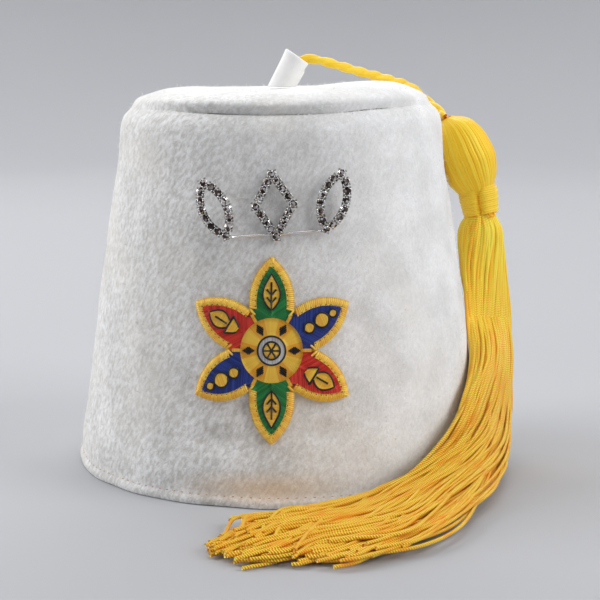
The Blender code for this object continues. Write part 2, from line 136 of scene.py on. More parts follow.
# Uncoated paper, rolled smooth: matt and faintly clouded, so that it shows soft shadows alone.
paper, tree, shader = new_material("matt_paper", Roughness=0.9)
place = add_node(tree, "ShaderNodeTexCoord").outputs["Object"]
clouds = add_node(tree, "ShaderNodeTexNoise", {
    "Vector": place, "Scale": 1 / PAPER_CLOUD, "Detail": 3.0})
tone = add_node(tree, "ShaderNodeValToRGB", {"Fac": clouds.outputs["Fac"]})
for element, shade in zip(tone.color_ramp.elements, PAPER_TONES):
    element.color = linear(shade)
tree.links.new(tone.outputs["Color"], shader.inputs["Base Color"])

bend = [(SWEEP_FLAT + SWEEP_BEND * sin(a), SWEEP_BEND * (1 - cos(a)))
        for a in np.linspace(0, pi / 2, 16)]
sweep_profile = np.array([(0.001, 0.0)] + bend + [(SWEEP_FLAT + SWEEP_BEND, SWEEP_HEIGHT)])
turn = np.linspace(0, 2 * pi, SWEEP_SIDES, endpoint=False)
sweep_points = np.stack([
    np.outer(sweep_profile[:, 0], np.cos(turn)),
    np.outer(sweep_profile[:, 0], np.sin(turn)),
    np.outer(sweep_profile[:, 1], np.ones(SWEEP_SIDES)),
], axis=-1).reshape(-1, 3)
sweep = object_from("paper_sweep", sweep_points / MM,
                    grid_quads(len(sweep_profile), SWEEP_SIDES, True), paper)

for number, (place, target, width, height, watts) in enumerate(SOFT_BOXES):
    light = bpy.data.lights.new(f"soft_box_{number}", "AREA")
    light.shape = "RECTANGLE"
    light.size = width
    light.size_y = height
    light.energy = watts
    box = bpy.data.objects.new(light.name, light)
    box.location = place
    box.rotation_euler = (Vector(target) - Vector(place)).to_track_quat("-Z", "Y").to_euler()
    bpy.context.scene.collection.objects.link(box)

world = bpy.data.worlds.new("studio_air")
world.use_nodes = True
world.node_tree.nodes["Background"].inputs["Color"].default_value = linear(WORLD_GREY)
world.node_tree.nodes["Background"].inputs["Strength"].default_value = WORLD_STRENGTH
bpy.context.scene.world = world


# --- Felt wall --------------------------------------------------------------------------------
# The wall is one tapered tube of thick white wool felt with a long brushed nap. It has settled:
# its front is flattened and softly dented, and its shoulders are rounded towards the top seam.
FELT = 2.5                      # mm, thickness
CUT_SWELL = 0.35                # mm that a cut edge swells past the two skins
CUT_RING = 0.1                  # mm from a cut edge to the ring beside it
HEM_HEIGHT = 3.6                # mm, free edge below the line of stitches
SEAM_HEIGHT = 153.4             # mm
WALL_ROWS = [                   # (height, radius) of the outer skin, foot to seam, mm
    (0.3, 88.0),
    (1.2, 88.4),
    (2.6, 88.3),
    (3.5, 87.6),
    (4.1, 86.9),
    (5.4, 87.1),
    (14.0, 86.9),
    (30.0, 84.3),
    (46.0, 82.2),
    (64.0, 79.8),
    (84.0, 77.1),
    (104.0, 74.2),
    (124.0, 71.0),
    (143.5, 68.2),
    (148.0, 67.1),
    (151.2, 65.4),
    (152.5, 64.4),
    (153.2, 63.2),
    (153.4, 61.6),
]
WALL_PLAIN_END = [              # the same from 124 mm up, where no crease opens below the top
    (132.0, 69.9),
    (138.0, 69.5),
    (143.5, 69.2),
    (147.0, 68.6),
    (149.1, 67.8),
    (150.3, 66.9),
    (151.6, 65.5),
    (152.9, 64.2),
    (153.9, 62.9),
]
OVAL = 0.040                    # how much deeper than wide the foot is
SEAM_TILT = 0.014               # rise of the seam for each mm towards +X
FRONT_FLAT_HALF = radians(46)
FRONT_FLAT_ROWS = [             # (height, depth) of the flattened front, mm
    (3.6, 0.0),
    (12.0, 1.2),
    (40.0, 4.2),
    (120.0, 4.6),
    (153.4, 2.2),
    (165.0, 1.0),
]
SEAM_SAG = (1.8, radians(62), 22.0)     # in front: (depth, half its width round, half its height)
DENTS = [                       # (across, height, half width, half height, depth), mm
    (-24.0, 25.0, 13.0, 8.0, 1.5),
    (17.0, 29.0, 15.0, 7.0, 1.3),
    (-19.0, 44.0, 15.0, 8.0, -0.9),
    (52.0, 48.0, 10.0, 26.0, -0.9),
    (33.0, 62.0, 9.0, 30.0, 0.7),
    (-42.0, 88.0, 9.0, 34.0, 0.7),
]
TOP_RADIUS = 62.0               # mm; further in, the felt of the top gives less and less
TOP_RISE = 7.6                  # mm from the seam to about the top's highest ring
TOP_TILT = 0.070                # rise of the top's front for each mm towards +X
TOP_TILT_FROM = (10.0, 25.0)    # mm, the y in front of which it grows, and over how far
TOP_FALL = 0.040                # fall of the top for each mm behind its middle
CORD_DENT = (52.0, 26.0, 26.0, 0.8)   # (x, y, half width, depth), mm
WALL_SIDES = 216
LEAST_RADIUS = 0.02             # mm, of the smallest ring in the middle of the top
WALL_SPACING = 1.6              # mm between the rings of the outer skin
UNEVEN = (0.30, 24.0)           # mm, how far the wall's surface wanders, and from bump to bump
CREASE = [                      # (degrees round from the front, how open the seam's crease is)
    (-180, 0.35),
    (-90, 0.2),
    (-66, 0.1),
    (-34, 1.0),
    (44, 1.0),
    (74, 0.1),
    (100, 0.2),
    (180, 0.35),
]
HEM_WAVE = (0.5, 30.0)          # the same of the hem's edge, in and out


def lengths_along(path):
    """How far along a path each of its points lies."""
    return np.concatenate([[0], np.cumsum(np.linalg.norm(np.diff(path, axis=0), axis=1))])


def smooth_path(points, spacing, count=None):
    """Evenly spaced points on the smooth curve through the given ones, or just so many of them."""
    knots = np.asarray(points, float)
    knots = np.vstack([2 * knots[0] - knots[1], knots, 2 * knots[-1] - knots[-2]])
    fine = []
    for before, start, end, after in zip(knots, knots[1:], knots[2:], knots[3:]):
        t = np.linspace(0, 1, 16, endpoint=False)[:, None]
        fine.append(0.5 * (2 * start + (end - before) * t
                           + (2 * before - 5 * start + 4 * end - after) * t ** 2
                           + (3 * start - 3 * end + after - before) * t ** 3))
    fine = np.vstack(fine + [knots[-2:-1]])
    lengths = lengths_along(fine)
    at = np.linspace(0, lengths[-1], count or max(2, round(lengths[-1] / spacing)) + 1)
    return np.stack([np.interp(at, lengths, column) for column in fine.T], axis=1)


def soft_window(distance):
    """1 at 0, falling smoothly to 0 at 1 and beyond."""
    return 0.5 + 0.5 * np.cos(pi * np.minimum(np.abs(distance), 1.0))


def waves(points, wavelength, seed):
    """A smooth uneven value between about -1 and 1, in bumps about one wavelength apart."""
    chance = np.random.default_rng(seed)
    total = np.zeros(np.shape(points)[:-1])
    for _ in range(12):
        direction = chance.normal(size=3)
        direction *= 2 * pi / wavelength * chance.uniform(0.6, 1.4) / np.linalg.norm(direction)
        total += np.sin(points @ direction + chance.uniform(0, 2 * pi))
    return total / 3.5


def settled(radius, angle, height):
    """Points of the worn felt, from those of the freshly turned one; 0 is the front."""
    x = radius * np.sin(angle)
    outer = np.minimum(1.0, radius / TOP_RADIUS) ** 3
    flat_heights, flat_depths = zip(*FRONT_FLAT_ROWS)
    give = np.interp(height, flat_heights, flat_depths) * soft_window(angle / FRONT_FLAT_HALF) * outer
    for across, middle, half_width, half_height, depth in DENTS:
        reach = np.hypot((x - across) / half_width, (height - middle) / half_height)
        give = give + depth * soft_window(reach) * (np.abs(angle) < pi / 2)
    radius = radius - give
    share = np.clip((height - HEM_HEIGHT) / (SEAM_HEIGHT - HEM_HEIGHT), 0.0, 1.0)
    x = radius * np.sin(angle)
    y = -radius * np.cos(angle) * (1 + OVAL * (1 - share))
    sag_depth, half_round, half_height = SEAM_SAG
    sag = sag_depth * soft_window(angle / half_round)
    sag = sag * soft_window((height - SEAM_HEIGHT) / half_height) * outer
    z = height + SEAM_TILT * x * share ** 2 - sag
    front = np.clip((TOP_TILT_FROM[0] - y) / TOP_TILT_FROM[1], 0.0, 1.0)
    across, back, half_width, depth = CORD_DENT
    pressed = depth * soft_window(np.hypot(x - across, y - back) / half_width)
    above_seam = (height - SEAM_HEIGHT) / TOP_RISE
    change = TOP_TILT * x * front * (1 - outer) - above_seam * (TOP_FALL * np.maximum(0, y) + pressed)
    z = z + np.where(height > SEAM_HEIGHT + 0.01, change, 0.0)
    return np.stack([x, y, z], axis=-1)


def felt_shell(profile, thickness):
    """A closed profile of felt: the outer (height, radius) rows and, inside them, the inner skin."""
    along = np.gradient(profile, axis=0)
    along /= np.linalg.norm(along, axis=1)[:, None]
    inward = np.stack([along[:, 1], -along[:, 0]], axis=1)
    inner = (profile + inward * thickness)[::-1][::2]
    ends = [(profile[-1] + inner[0]) / 2 + CUT_SWELL * along[-1],
            (profile[0] + inner[-1]) / 2 - CUT_SWELL * along[0]]
    return np.vstack([profile, ends[0], inner, ends[1]])


def turned(profile, sides):
    """The settled points of a profile turned round, with the front in the middle of the row."""
    angle = np.linspace(-pi, pi, sides, endpoint=False)
    heights = np.repeat(profile[:, :1], sides, axis=1)
    radii = np.repeat(profile[:, 1:], sides, axis=1)
    return settled(radii, np.broadcast_to(angle, radii.shape), heights)


def closed_quads(rows, columns):
    """Faces of a profile that is closed on itself and turned all the way round."""
    quads = grid_quads(rows + 1, columns, True)
    return quads % (rows * columns)


CLUMP = (2.9, 1.5)              # mm, along and across the tufts of fibres
NAP_LEAN = radians(58)          # of the tufts in front, from the level
PAINTED_HOLLOW_SHADE = "#D9D7D3"         # painted shade: multiplies the wool's colour in the hollows between the tufts
SHADE_FADES_TOWARDS = (1.0, 0.8, 0.0)       # the painted shade in the hollows fades to the right and behind, where the light falls flat
SHADE_FADE = (-84.0, -14.0, 0.25)     # mm that way where it begins and ends to fade, share left
GREY_CLOUD = 16.0               # mm, size of the clouds that pressing leaves
CLOUD_GREY = "#F0F0EF"          # multiplies the wool's colour in them
BEIGE_CLOUD = 35.0              # mm
FELT_BEIGE = "#DDD7CC"
BEIGE_SHARE = 0.45              # at most
STAIN_AND_PAINTED_BOUNCE = [                       # (middle, reach, colour, share at most), mm
    ((-75.0, -38.0, 13.0), (5.0, 5.0, 5.0), "#B79A72", 0.55),   # a pale brown spot beside the hem
    ((-4.0, -82.0, 7.0), (44.0, 34.0, 10.0), "#EFC48C", 0.6),   # painted orange bounce light from the tassel
]


def wool(name, white, bump_strength, shade_in_hollows=1.0):
    """White wool, which scatters light between its fibres: matt, soft, with a faint glow at edges.

    Tangled fibres make small leaning tufts. Painted shade greys the hollows between them, with less of
    it further to the right and behind, where the light falls flat; shade_in_hollows says how much of it
    a piece shows. Pressing and brushing leave cloudy grey and beige patches a few centimetres across. A
    pale brown stain lies beside the hem, and orange bounce light from the tassel is painted low on the
    front.
    """
    material, tree, shader = new_material(
        name, Roughness=0.95, IOR=1.54, Sheen_Weight=0.2, Sheen_Roughness=0.6)
    place = add_node(tree, "ShaderNodeTexCoord").outputs["Object"]
    leaning = add_node(tree, "ShaderNodeMapping", {
        "Vector": place, "Rotation": (0.0, -NAP_LEAN, 0.0),
        "Scale": (CLUMP[0] * MM, CLUMP[1] * MM, CLUMP[1] * MM)}, vector_type="TEXTURE")
    tufts = add_node(tree, "ShaderNodeTexNoise", {
        "Vector": leaning.outputs[0], "Scale": 1.0, "Detail": 4.0, "Roughness": 0.65})
    clouds = add_node(tree, "ShaderNodeTexNoise", {
        "Vector": place, "Scale": 1 / (GREY_CLOUD * MM), "Detail": 3.0, "Roughness": 0.5})
    warmth = add_node(tree, "ShaderNodeTexNoise", {
        "Vector": place, "Scale": 1 / (BEIGE_CLOUD * MM), "Detail": 2.0})
    # Painted shade in the hollows between the tufts, fading to the right and behind, where the light
    # falls flat.
    shade_fade_at = add_node(tree, "ShaderNodeVectorMath", {0: place, 1: SHADE_FADES_TOWARDS},
                       operation="DOT_PRODUCT")
    hollow_shade_depth = add_node(tree, "ShaderNodeMapRange", {
        "Value": shade_fade_at.outputs["Value"],
        "From Min": SHADE_FADE[0] * MM, "From Max": SHADE_FADE[1] * MM,
        "To Min": shade_in_hollows, "To Max": shade_in_hollows * SHADE_FADE[2]})
    painted_hollow_shade = add_node(tree, "ShaderNodeMapRange", {
        "Value": tufts.outputs["Fac"], "From Min": 0.62, "From Max": 0.38,
        "To Max": hollow_shade_depth.outputs[0]})
    cloud = add_node(tree, "ShaderNodeMapRange", {
        "Value": clouds.outputs["Fac"], "From Min": 0.62, "From Max": 0.36})
    warm_share = add_node(tree, "ShaderNodeMapRange", {
        "Value": warmth.outputs["Fac"], "From Min": 0.5, "From Max": 0.8, "To Max": BEIGE_SHARE})
    tints = [(cloud, CLOUD_GREY, "MULTIPLY"), (painted_hollow_shade, PAINTED_HOLLOW_SHADE, "MULTIPLY"),
             (warm_share, FELT_BEIGE, "MIX")]
    # A real stain, and orange bounce light from the tassel painted on the felt.
    for middle, reach, tint, share in STAIN_AND_PAINTED_BOUNCE:
        within = add_node(tree, "ShaderNodeMapping", {
            "Vector": place, "Location": tuple(mm * MM for mm in middle),
            "Scale": tuple(mm * MM for mm in reach)}, vector_type="TEXTURE")
        distance = add_node(tree, "ShaderNodeVectorMath", {0: within.outputs[0]}, operation="LENGTH")
        fade = add_node(tree, "ShaderNodeMapRange", {
            "Value": distance.outputs["Value"], "To Min": share, "To Max": 0.0},
            interpolation_type="SMOOTHSTEP")
        tints.append((fade, tint, "MIX"))
    colour = linear(white)
    for share, tint, blend in tints:
        colour = add_node(tree, "ShaderNodeMix", {0: share.outputs[0], 6: colour, 7: linear(tint)},
                          data_type="RGBA", blend_type=blend).outputs[2]
    tree.links.new(colour, shader.inputs["Base Color"])
    if bump_strength:
        bump = add_node(tree, "ShaderNodeBump", {
            "Height": tufts.outputs["Fac"], "Strength": bump_strength, "Distance": 0.0008})
        tree.links.new(bump.outputs["Normal"], shader.inputs["Normal"])
    return material


# The felt is drawn a little greyer than the raised fibres over it: painted shade under the nap.
felt = wool("brushed_wool_felt", "#F2F2F2", 0.5)


def edged(profile):
    """The rows of a profile with one more close to each end, so that its cut edges stay crisp."""
    steps = np.diff(profile, axis=0)
    near = CUT_RING * steps / np.linalg.norm(steps, axis=1)[:, None]
    return np.vstack([profile[0], profile[0] + near[0], profile[1:-1],
                      profile[-1] - near[-1], profile[-1]])


def with_seam(rows, plain_rows, spacing):
    """A felt profile, and its turned skins with the seam's crease open in front and closed behind."""
    profile = edged(smooth_path(rows, spacing))
    degrees = np.linspace(-180, 180, WALL_SIDES, endpoint=False)
    openness = np.interp(degrees, *zip(*CREASE))[:, None]
    skins = []
    for outer in (profile, edged(smooth_path(plain_rows, spacing, len(profile) - 2))):
        loop = felt_shell(outer, FELT)
        loop[:, 1] = np.maximum(loop[:, 1], LEAST_RADIUS)
        skins.append(turned(loop, WALL_SIDES))
    return profile, skins[0] * openness + skins[1] * (1 - openness)


wall_profile, wall_points = with_seam(WALL_ROWS, WALL_ROWS[:13] + WALL_PLAIN_END, WALL_SPACING)
skin = wall_points[:len(wall_profile)]
inward = -skin * (1, 1, 0) / np.linalg.norm(skin[..., :2], axis=-1, keepdims=True)
hollows = 0.5 + 0.5 * waves(skin, UNEVEN[1], 1)
skin += inward * UNEVEN[0] * hollows[..., None]
below_stitches = np.clip(1 - wall_profile[:, 0] / (2 * HEM_HEIGHT), 0, 1)[:, None, None]
skin -= inward * below_stitches * HEM_WAVE[0] * waves(skin * (1, 1, 0), HEM_WAVE[1], 2)[..., None]
crown_wall = object_from("felt_wall", wall_points.reshape(-1, 3),
                         closed_quads(len(wall_points), WALL_SIDES), felt)
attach(crown_wall, "root")
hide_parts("crown_wall")


# --- Felt top ---------------------------------------------------------------------------------
# A round of the same felt, blocked with a shallow dome and a rounded edge, and sewn to the wall
# from inside, so that its edge swells over the seam and a soft dark crease runs below it.
TOP_ROWS = [                    # (height, radius) of the outer skin, seam to middle, mm
    (153.6, 61.2),
    (154.4, 61.5),
    (155.6, 62.4),
    (156.9, 63.1),
    (158.1, 62.4),
    (159.3, 59.6),
    (160.6, 54.5),
    (161.3, 48.0),
    (161.4, 36.0),
    (160.4, 18.0),
    (160.1, 6.0),
    (160.1, LEAST_RADIUS),
]
TOP_PLAIN_ROWS = [              # the same where no crease opens below it
    (152.9, 64.5),
    (154.2, 63.5),
    (155.5, 62.4),
    (156.8, 61.0),
    (158.1, 58.7),
    (159.4, 55.4),
    (160.6, 51.5),
    (161.3, 46.0),
    (161.4, 36.0),
    (160.4, 18.0),
    (160.1, 6.0),
    (160.1, LEAST_RADIUS),
]
TOP_SPACING = 1.3               # mm between its rings
TOP_UNEVEN = (0.30, 20.0)       # mm, as for the wall

top_profile, top_points = with_seam(TOP_ROWS, TOP_PLAIN_ROWS, TOP_SPACING)
top_skin = top_points[:len(top_profile)]
top_skin[..., 2] -= TOP_UNEVEN[0] * (0.5 + 0.5 * waves(top_skin, TOP_UNEVEN[1], 3))
crown_top = object_from("felt_top", top_points.reshape(-1, 3),
                        closed_quads(len(top_points), WALL_SIDES), felt)
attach(crown_top, "root")
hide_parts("crown_top")


# --- Nap --------------------------------------------------------------------------------------
# Loose wool fibres that brushing has raised from the felt. They lie in soft swirls over the wall
# and the top, stand a little off the surface, and make the fuzz that shows against the light.
NAP_WIDTH = 0.34                # mm; real fibres are a tenth of this, too fine to show
NAP_PATCHES = [                 # (name, skin, fibres, shortest, longest, seed), lengths in mm
    ("wall_nap_0", skin, 38000, 1.1, 2.6, 11),
    ("wall_nap_1", skin, 38000, 1.1, 2.6, 12),
    ("wall_nap_2", skin, 38000, 1.1, 2.6, 13),
    ("top_nap", top_skin, 14000, 1.0, 2.4, 14),
]
SWIRL = (0.9, 14.0)             # radians that the nap turns either way, mm from swirl to swirl
FIBRE_SPREAD = 0.9              # radians, of single fibres about that
FIBRE_CURL = 1.3                # radians, of a fibre's tip against its root
FIBRE_ROLL = 0.08               # radians, of the ribbon that stands for a fibre
FIBRE_SUNK = 0.1                # mm that its root is sunk in the felt
FIBRE_LOWEST = 0.05             # mm, of its corners over what the hat stands on
FIBRE_LIFT = (0.03, 0.04)       # mm off the felt at each step: the least, and how much more it may be
STANDING_SHARE = 0.04           # share of the fibres that stand well off the felt
STANDING_LIFT = 9.0             # times as far as the rest
STANDING_WIDTH = 0.5            # of the rest's
FIBRE_TAPER = (1.0, 0.9, 0.2)   # its width at root, middle and tip


def scattered(grid, count, chance):
    """Random places spread evenly over a grid of points that is turned all the way round."""
    rows, columns = grid.shape[:2]
    corners = grid.reshape(-1, 3)[grid_quads(rows, columns, True)]
    sides = [corners[:, 1] - corners[:, 0], corners[:, 3] - corners[:, 0]]
    normals = np.cross(*sides)
    areas = np.linalg.norm(normals, axis=1)
    chosen = chance.choice(len(corners), count, p=areas / areas.sum())
    u, v = chance.random((2, count, 1))
    places = corners[chosen, 0] + u * sides[0][chosen] + v * sides[1][chosen]
    return places, normals[chosen] / areas[chosen, None]


# The raised fibres are drawn whiter than the felt under them; the difference is painted shade on the
# felt.
nap_wool = wool("raised_wool_fibre", "#FCFCFC", 0.0)
for name, grid, count, shortest, longest, seed in NAP_PATCHES:
    chance = np.random.default_rng(seed)
    roots, normals = scattered(grid, count, chance)
    level = np.cross(normals, (0, 0, 1.0) if grid is skin else (0, 1.0, 0))
    level /= np.linalg.norm(level, axis=1)[:, None]
    upright = np.cross(level, normals)
    swirl = (pi - NAP_LEAN + SWIRL[0] * waves(roots, SWIRL[1], 31)
             + chance.normal(0, FIBRE_SPREAD, count))
    curl = chance.normal(0, FIBRE_CURL, count)
    reach = chance.uniform(shortest, longest, count)[:, None] / 2
    standing = chance.random((count, 1)) < STANDING_SHARE
    lift = FIBRE_LIFT[0] + np.abs(chance.normal(0, FIBRE_LIFT[1], (2, count, 1)))
    lift *= np.where(standing, STANDING_LIFT, 1.0)
    places = [roots - FIBRE_SUNK * normals]
    for step, turn_by in enumerate((swirl, swirl + curl)):
        heading = np.cos(turn_by)[:, None] * level + np.sin(turn_by)[:, None] * upright
        places.append(places[-1] + reach * heading + lift[step] * normals)
    roll = chance.uniform(-FIBRE_ROLL, FIBRE_ROLL, count)[:, None]
    across = np.cross(heading, normals) * np.cos(roll) + normals * np.sin(roll)
    across = across * np.where(standing, STANDING_WIDTH, 1.0)
    ribbon = np.stack([place + sideways * width * NAP_WIDTH / 2 * across
                       for place, width in zip(places, FIBRE_TAPER) for sideways in (-1, 1)], axis=1)
    first = 6 * np.arange(count)[:, None]
    quads = np.concatenate([first + (0, 1, 3, 2), first + (2, 3, 5, 4)])
    ribbon[..., 2] = np.maximum(ribbon[..., 2], FIBRE_LOWEST)
    nap = object_from(name, ribbon.reshape(-1, 3), quads, nap_wool)
    nap.visible_shadow = False      # a real fibre is too thin and clear to cast one
    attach(nap, "root")


# --- Stem -------------------------------------------------------------------------------------
# A strip of thin felt rolled into a short tube and sewn to the middle of the top. Its rolled
# edge shows as a seam towards the tassel, and stands open near the mouth to let the cord out.
STEM_FOOT = np.array((0.2, 0.0, 160.8))
STEM_LEAN = radians(28)
STEM_BORE = 3.0                 # mm, radius
STEM_ROWS = [(0.0, 5.3), (11.6, 5.6), (14.7, 5.9)]   # (along, outer radius), mm
STEM_CUT = 0.11                 # slope of the cut mouth
STEM_LIP = 0.4                  # rounding of the mouth
STEM_GAP = (0.10, 0.44)         # radians, half the opening of the seam, below and beside the notch
NOTCH_FOOT = 9.6
STEM_COLUMNS = 40               # from edge to edge of the rolled strip
STEM_RINGS = 26
ROLLED_EDGE = 0.45              # mm that the outer edge stands proud


def circle(turns):
    """Points of a circle of radius 1 at the given angles."""
    return np.stack([np.cos(turns), np.sin(turns)], axis=1)


stem_length = STEM_ROWS[-1][0]
stem_along = np.concatenate([np.linspace(0, stem_length - STEM_LIP, STEM_RINGS), [stem_length]])
across_sheet = np.linspace(-1, 1, STEM_COLUMNS)
stem_points = []
for number, along in enumerate(stem_along):
    gap = np.interp(along, (NOTCH_FOOT - 0.5, NOTCH_FOOT + 0.5), STEM_GAP)
    angle = pi + across_sheet * (pi - gap)
    outer = np.interp(along, *zip(*STEM_ROWS)) + ROLLED_EDGE * np.clip(across_sheet * 6 - 5, 0, 1)
    inner = np.full(STEM_COLUMNS, STEM_BORE)
    if number == len(stem_along) - 1:
        outer, inner = outer - STEM_LIP, inner + STEM_LIP
    ring = np.concatenate([(radius[:, None] * circle(angle))[::step]
                           for radius, step in ((outer, 1), (inner, -1))])
    slope = np.interp(along, (0, stem_length), (np.tan(STEM_LEAN), -STEM_CUT))
    level = along + slope * ring[:, 0]
    lean = np.stack([ring[:, 0] * cos(STEM_LEAN) + level * sin(STEM_LEAN), ring[:, 1],
                     level * cos(STEM_LEAN) - ring[:, 0] * sin(STEM_LEAN)], axis=1)
    stem_points.append(STEM_FOOT + lean)
columns = 2 * STEM_COLUMNS
ends = []
for row, order in ((0, 1), (len(stem_along) - 1, -1)):
    step = row * columns + np.arange(STEM_COLUMNS - 1)
    back = row * columns + columns - 1 - np.arange(STEM_COLUMNS - 1)
    ends.append(np.stack([step, back, back - 1, step + 1], axis=1)[:, ::order])
stem_quads = np.vstack([grid_quads(len(stem_along), columns, True)] + ends)
# The stem's wool is drawn whiter than the wall's, with less painted shade in its hollows: painted light,
# as the stem stands in more light.
thin_felt = wool("thin_wool_felt", "#FFFFFF", 0.3, shade_in_hollows=0.35)
stem = object_from("felt_stem", np.vstack(stem_points), stem_quads, thin_felt)
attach(stem, "root")
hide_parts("stem")


# --- Tassel head ------------------------------------------------------------------------------
# The skirt's own rayon strands, folded over the end of the cord and drawn together below it.
# They fan out of the notch where the cord goes in, and lie side by side as flat satin threads.
TASSEL_TOP = np.array((72.3, 18.3, 145.9))
NECK_TOP = np.array((86.8, 18.0, 115.2))
NECK_FOOT = np.array((88.6, 17.6, 104.2))
HEAD_ROWS = [                   # (share of the way down, radius, bulge away from the felt), mm
    (0.0, 3.4, -0.3),
    (0.13, 8.5, 1.3),
    (0.31, 11.1, 1.8),
    (0.48, 12.3, 1.6),
    (0.64, 12.5, 1.5),
    (0.80, 11.5, 0.9),
    (0.92, 9.8, 0.6),
    (1.0, 8.1, 0.2),
    (1.10, 7.2, 0.2),
]
HEAD_SPACING = 1.5              # mm between the rings of a thread
HEAD_THREADS = 84
HEAD_THREAD = 1.05              # mm, radius of a thread at the widest part; neighbours merge
HEAD_FULL = 11.0                # mm, radius of the head where its threads reach that
HEAD_GROOVES = (7, 0.16, 0.35)  # deeper gaps: how many, half width in radians, depth in mm
HEAD_SWAY = 0.10                # radians that the threads bow to one side
HEAD_CORE = 2.0                 # mm from the threads' middles in to the strands below them
GAP_REACH = 2.5                 # mm over which neighbours count as closing a gap between threads, for the painted shade in it
SLACK = (35.0, 85.0, 0.2)       # mm, heights between which the twist tightens; share left above
FLUSH = 13.0                    # mm, size of the orange flushes on loose strands
FLUSH_APART = 40.0              # how far they differ from strand to strand, by its dye
RAYON_DYES = [(0.45, "#FFD034"), (0.85, "#FFE658")]     # between the deepest and the palest


def across_path(path, guide):
    """Two unit vectors across a path at each of its points, the first square to the guide."""
    along = np.gradient(path, axis=0)
    along /= np.linalg.norm(along, axis=1)[:, None]
    side = np.cross(along, guide)
    side /= np.linalg.norm(side, axis=1)[:, None]
    return side, np.cross(side, along)


def tube_part(path, radius, sides, guide, tone=0.5, spin=0.0, plies=1):
    """A tube along a path: its points, its faces, and each point's (tone, length, cosine, sine).

    The last two say where round the thread the point lies, counted once for each of its plies;
    spin turns them along the thread.
    """
    path = np.asarray(path, float)
    side, up = across_path(path, guide)
    angle = 2 * pi * np.arange(sides) / sides
    ring = np.cos(angle)[:, None] * side[:, None] + np.sin(angle)[:, None] * up[:, None]
    points = path[:, None] + np.broadcast_to(radius, len(path))[:, None, None] * ring
    turned_by = plies * angle + 2 * pi * np.broadcast_to(spin, len(path))[:, None]
    facts = np.empty((len(path), sides, 4))
    facts[..., 0] = np.broadcast_to(tone, len(path))[:, None]
    facts[..., 1] = lengths_along(path)[:, None]
    facts[..., 2] = np.cos(turned_by)
    facts[..., 3] = np.sin(turned_by)
    quads = [grid_quads(len(path), sides, True)]
    last = (len(path) - 1) * sides
    for k in range(1, sides // 2):
        quads.append([(0, 2 * k - 1, 2 * k, 2 * k + 1 if 2 * k + 1 < sides else 0)])
        quads.append([(last, last + (2 * k + 1) % sides, last + 2 * k, last + 2 * k - 1)])
    return points.reshape(-1, 3), np.vstack(quads), facts.reshape(-1, 4)


def joined_object(name, parts, material):
    """One object from many parts, with their facts kept on its points for the material."""
    points, quads, facts, first = [], [], [], 0
    for part_points, part_quads, part_facts in parts:
        points.append(part_points)
        quads.append(part_quads + first)
        facts.append(part_facts)
        first += len(part_points)
    made = object_from(name, np.vstack(points), np.vstack(quads), material)
    facts = np.vstack(facts).astype(np.float32)
    strand = made.data.attributes.new("strand", "FLOAT_VECTOR", "POINT")
    strand.data.foreach_set("vector", facts[:, :3].ravel())
    sine = made.data.attributes.new("sine", "FLOAT", "POINT")
    sine.data.foreach_set("value", facts[:, 3])
    return made


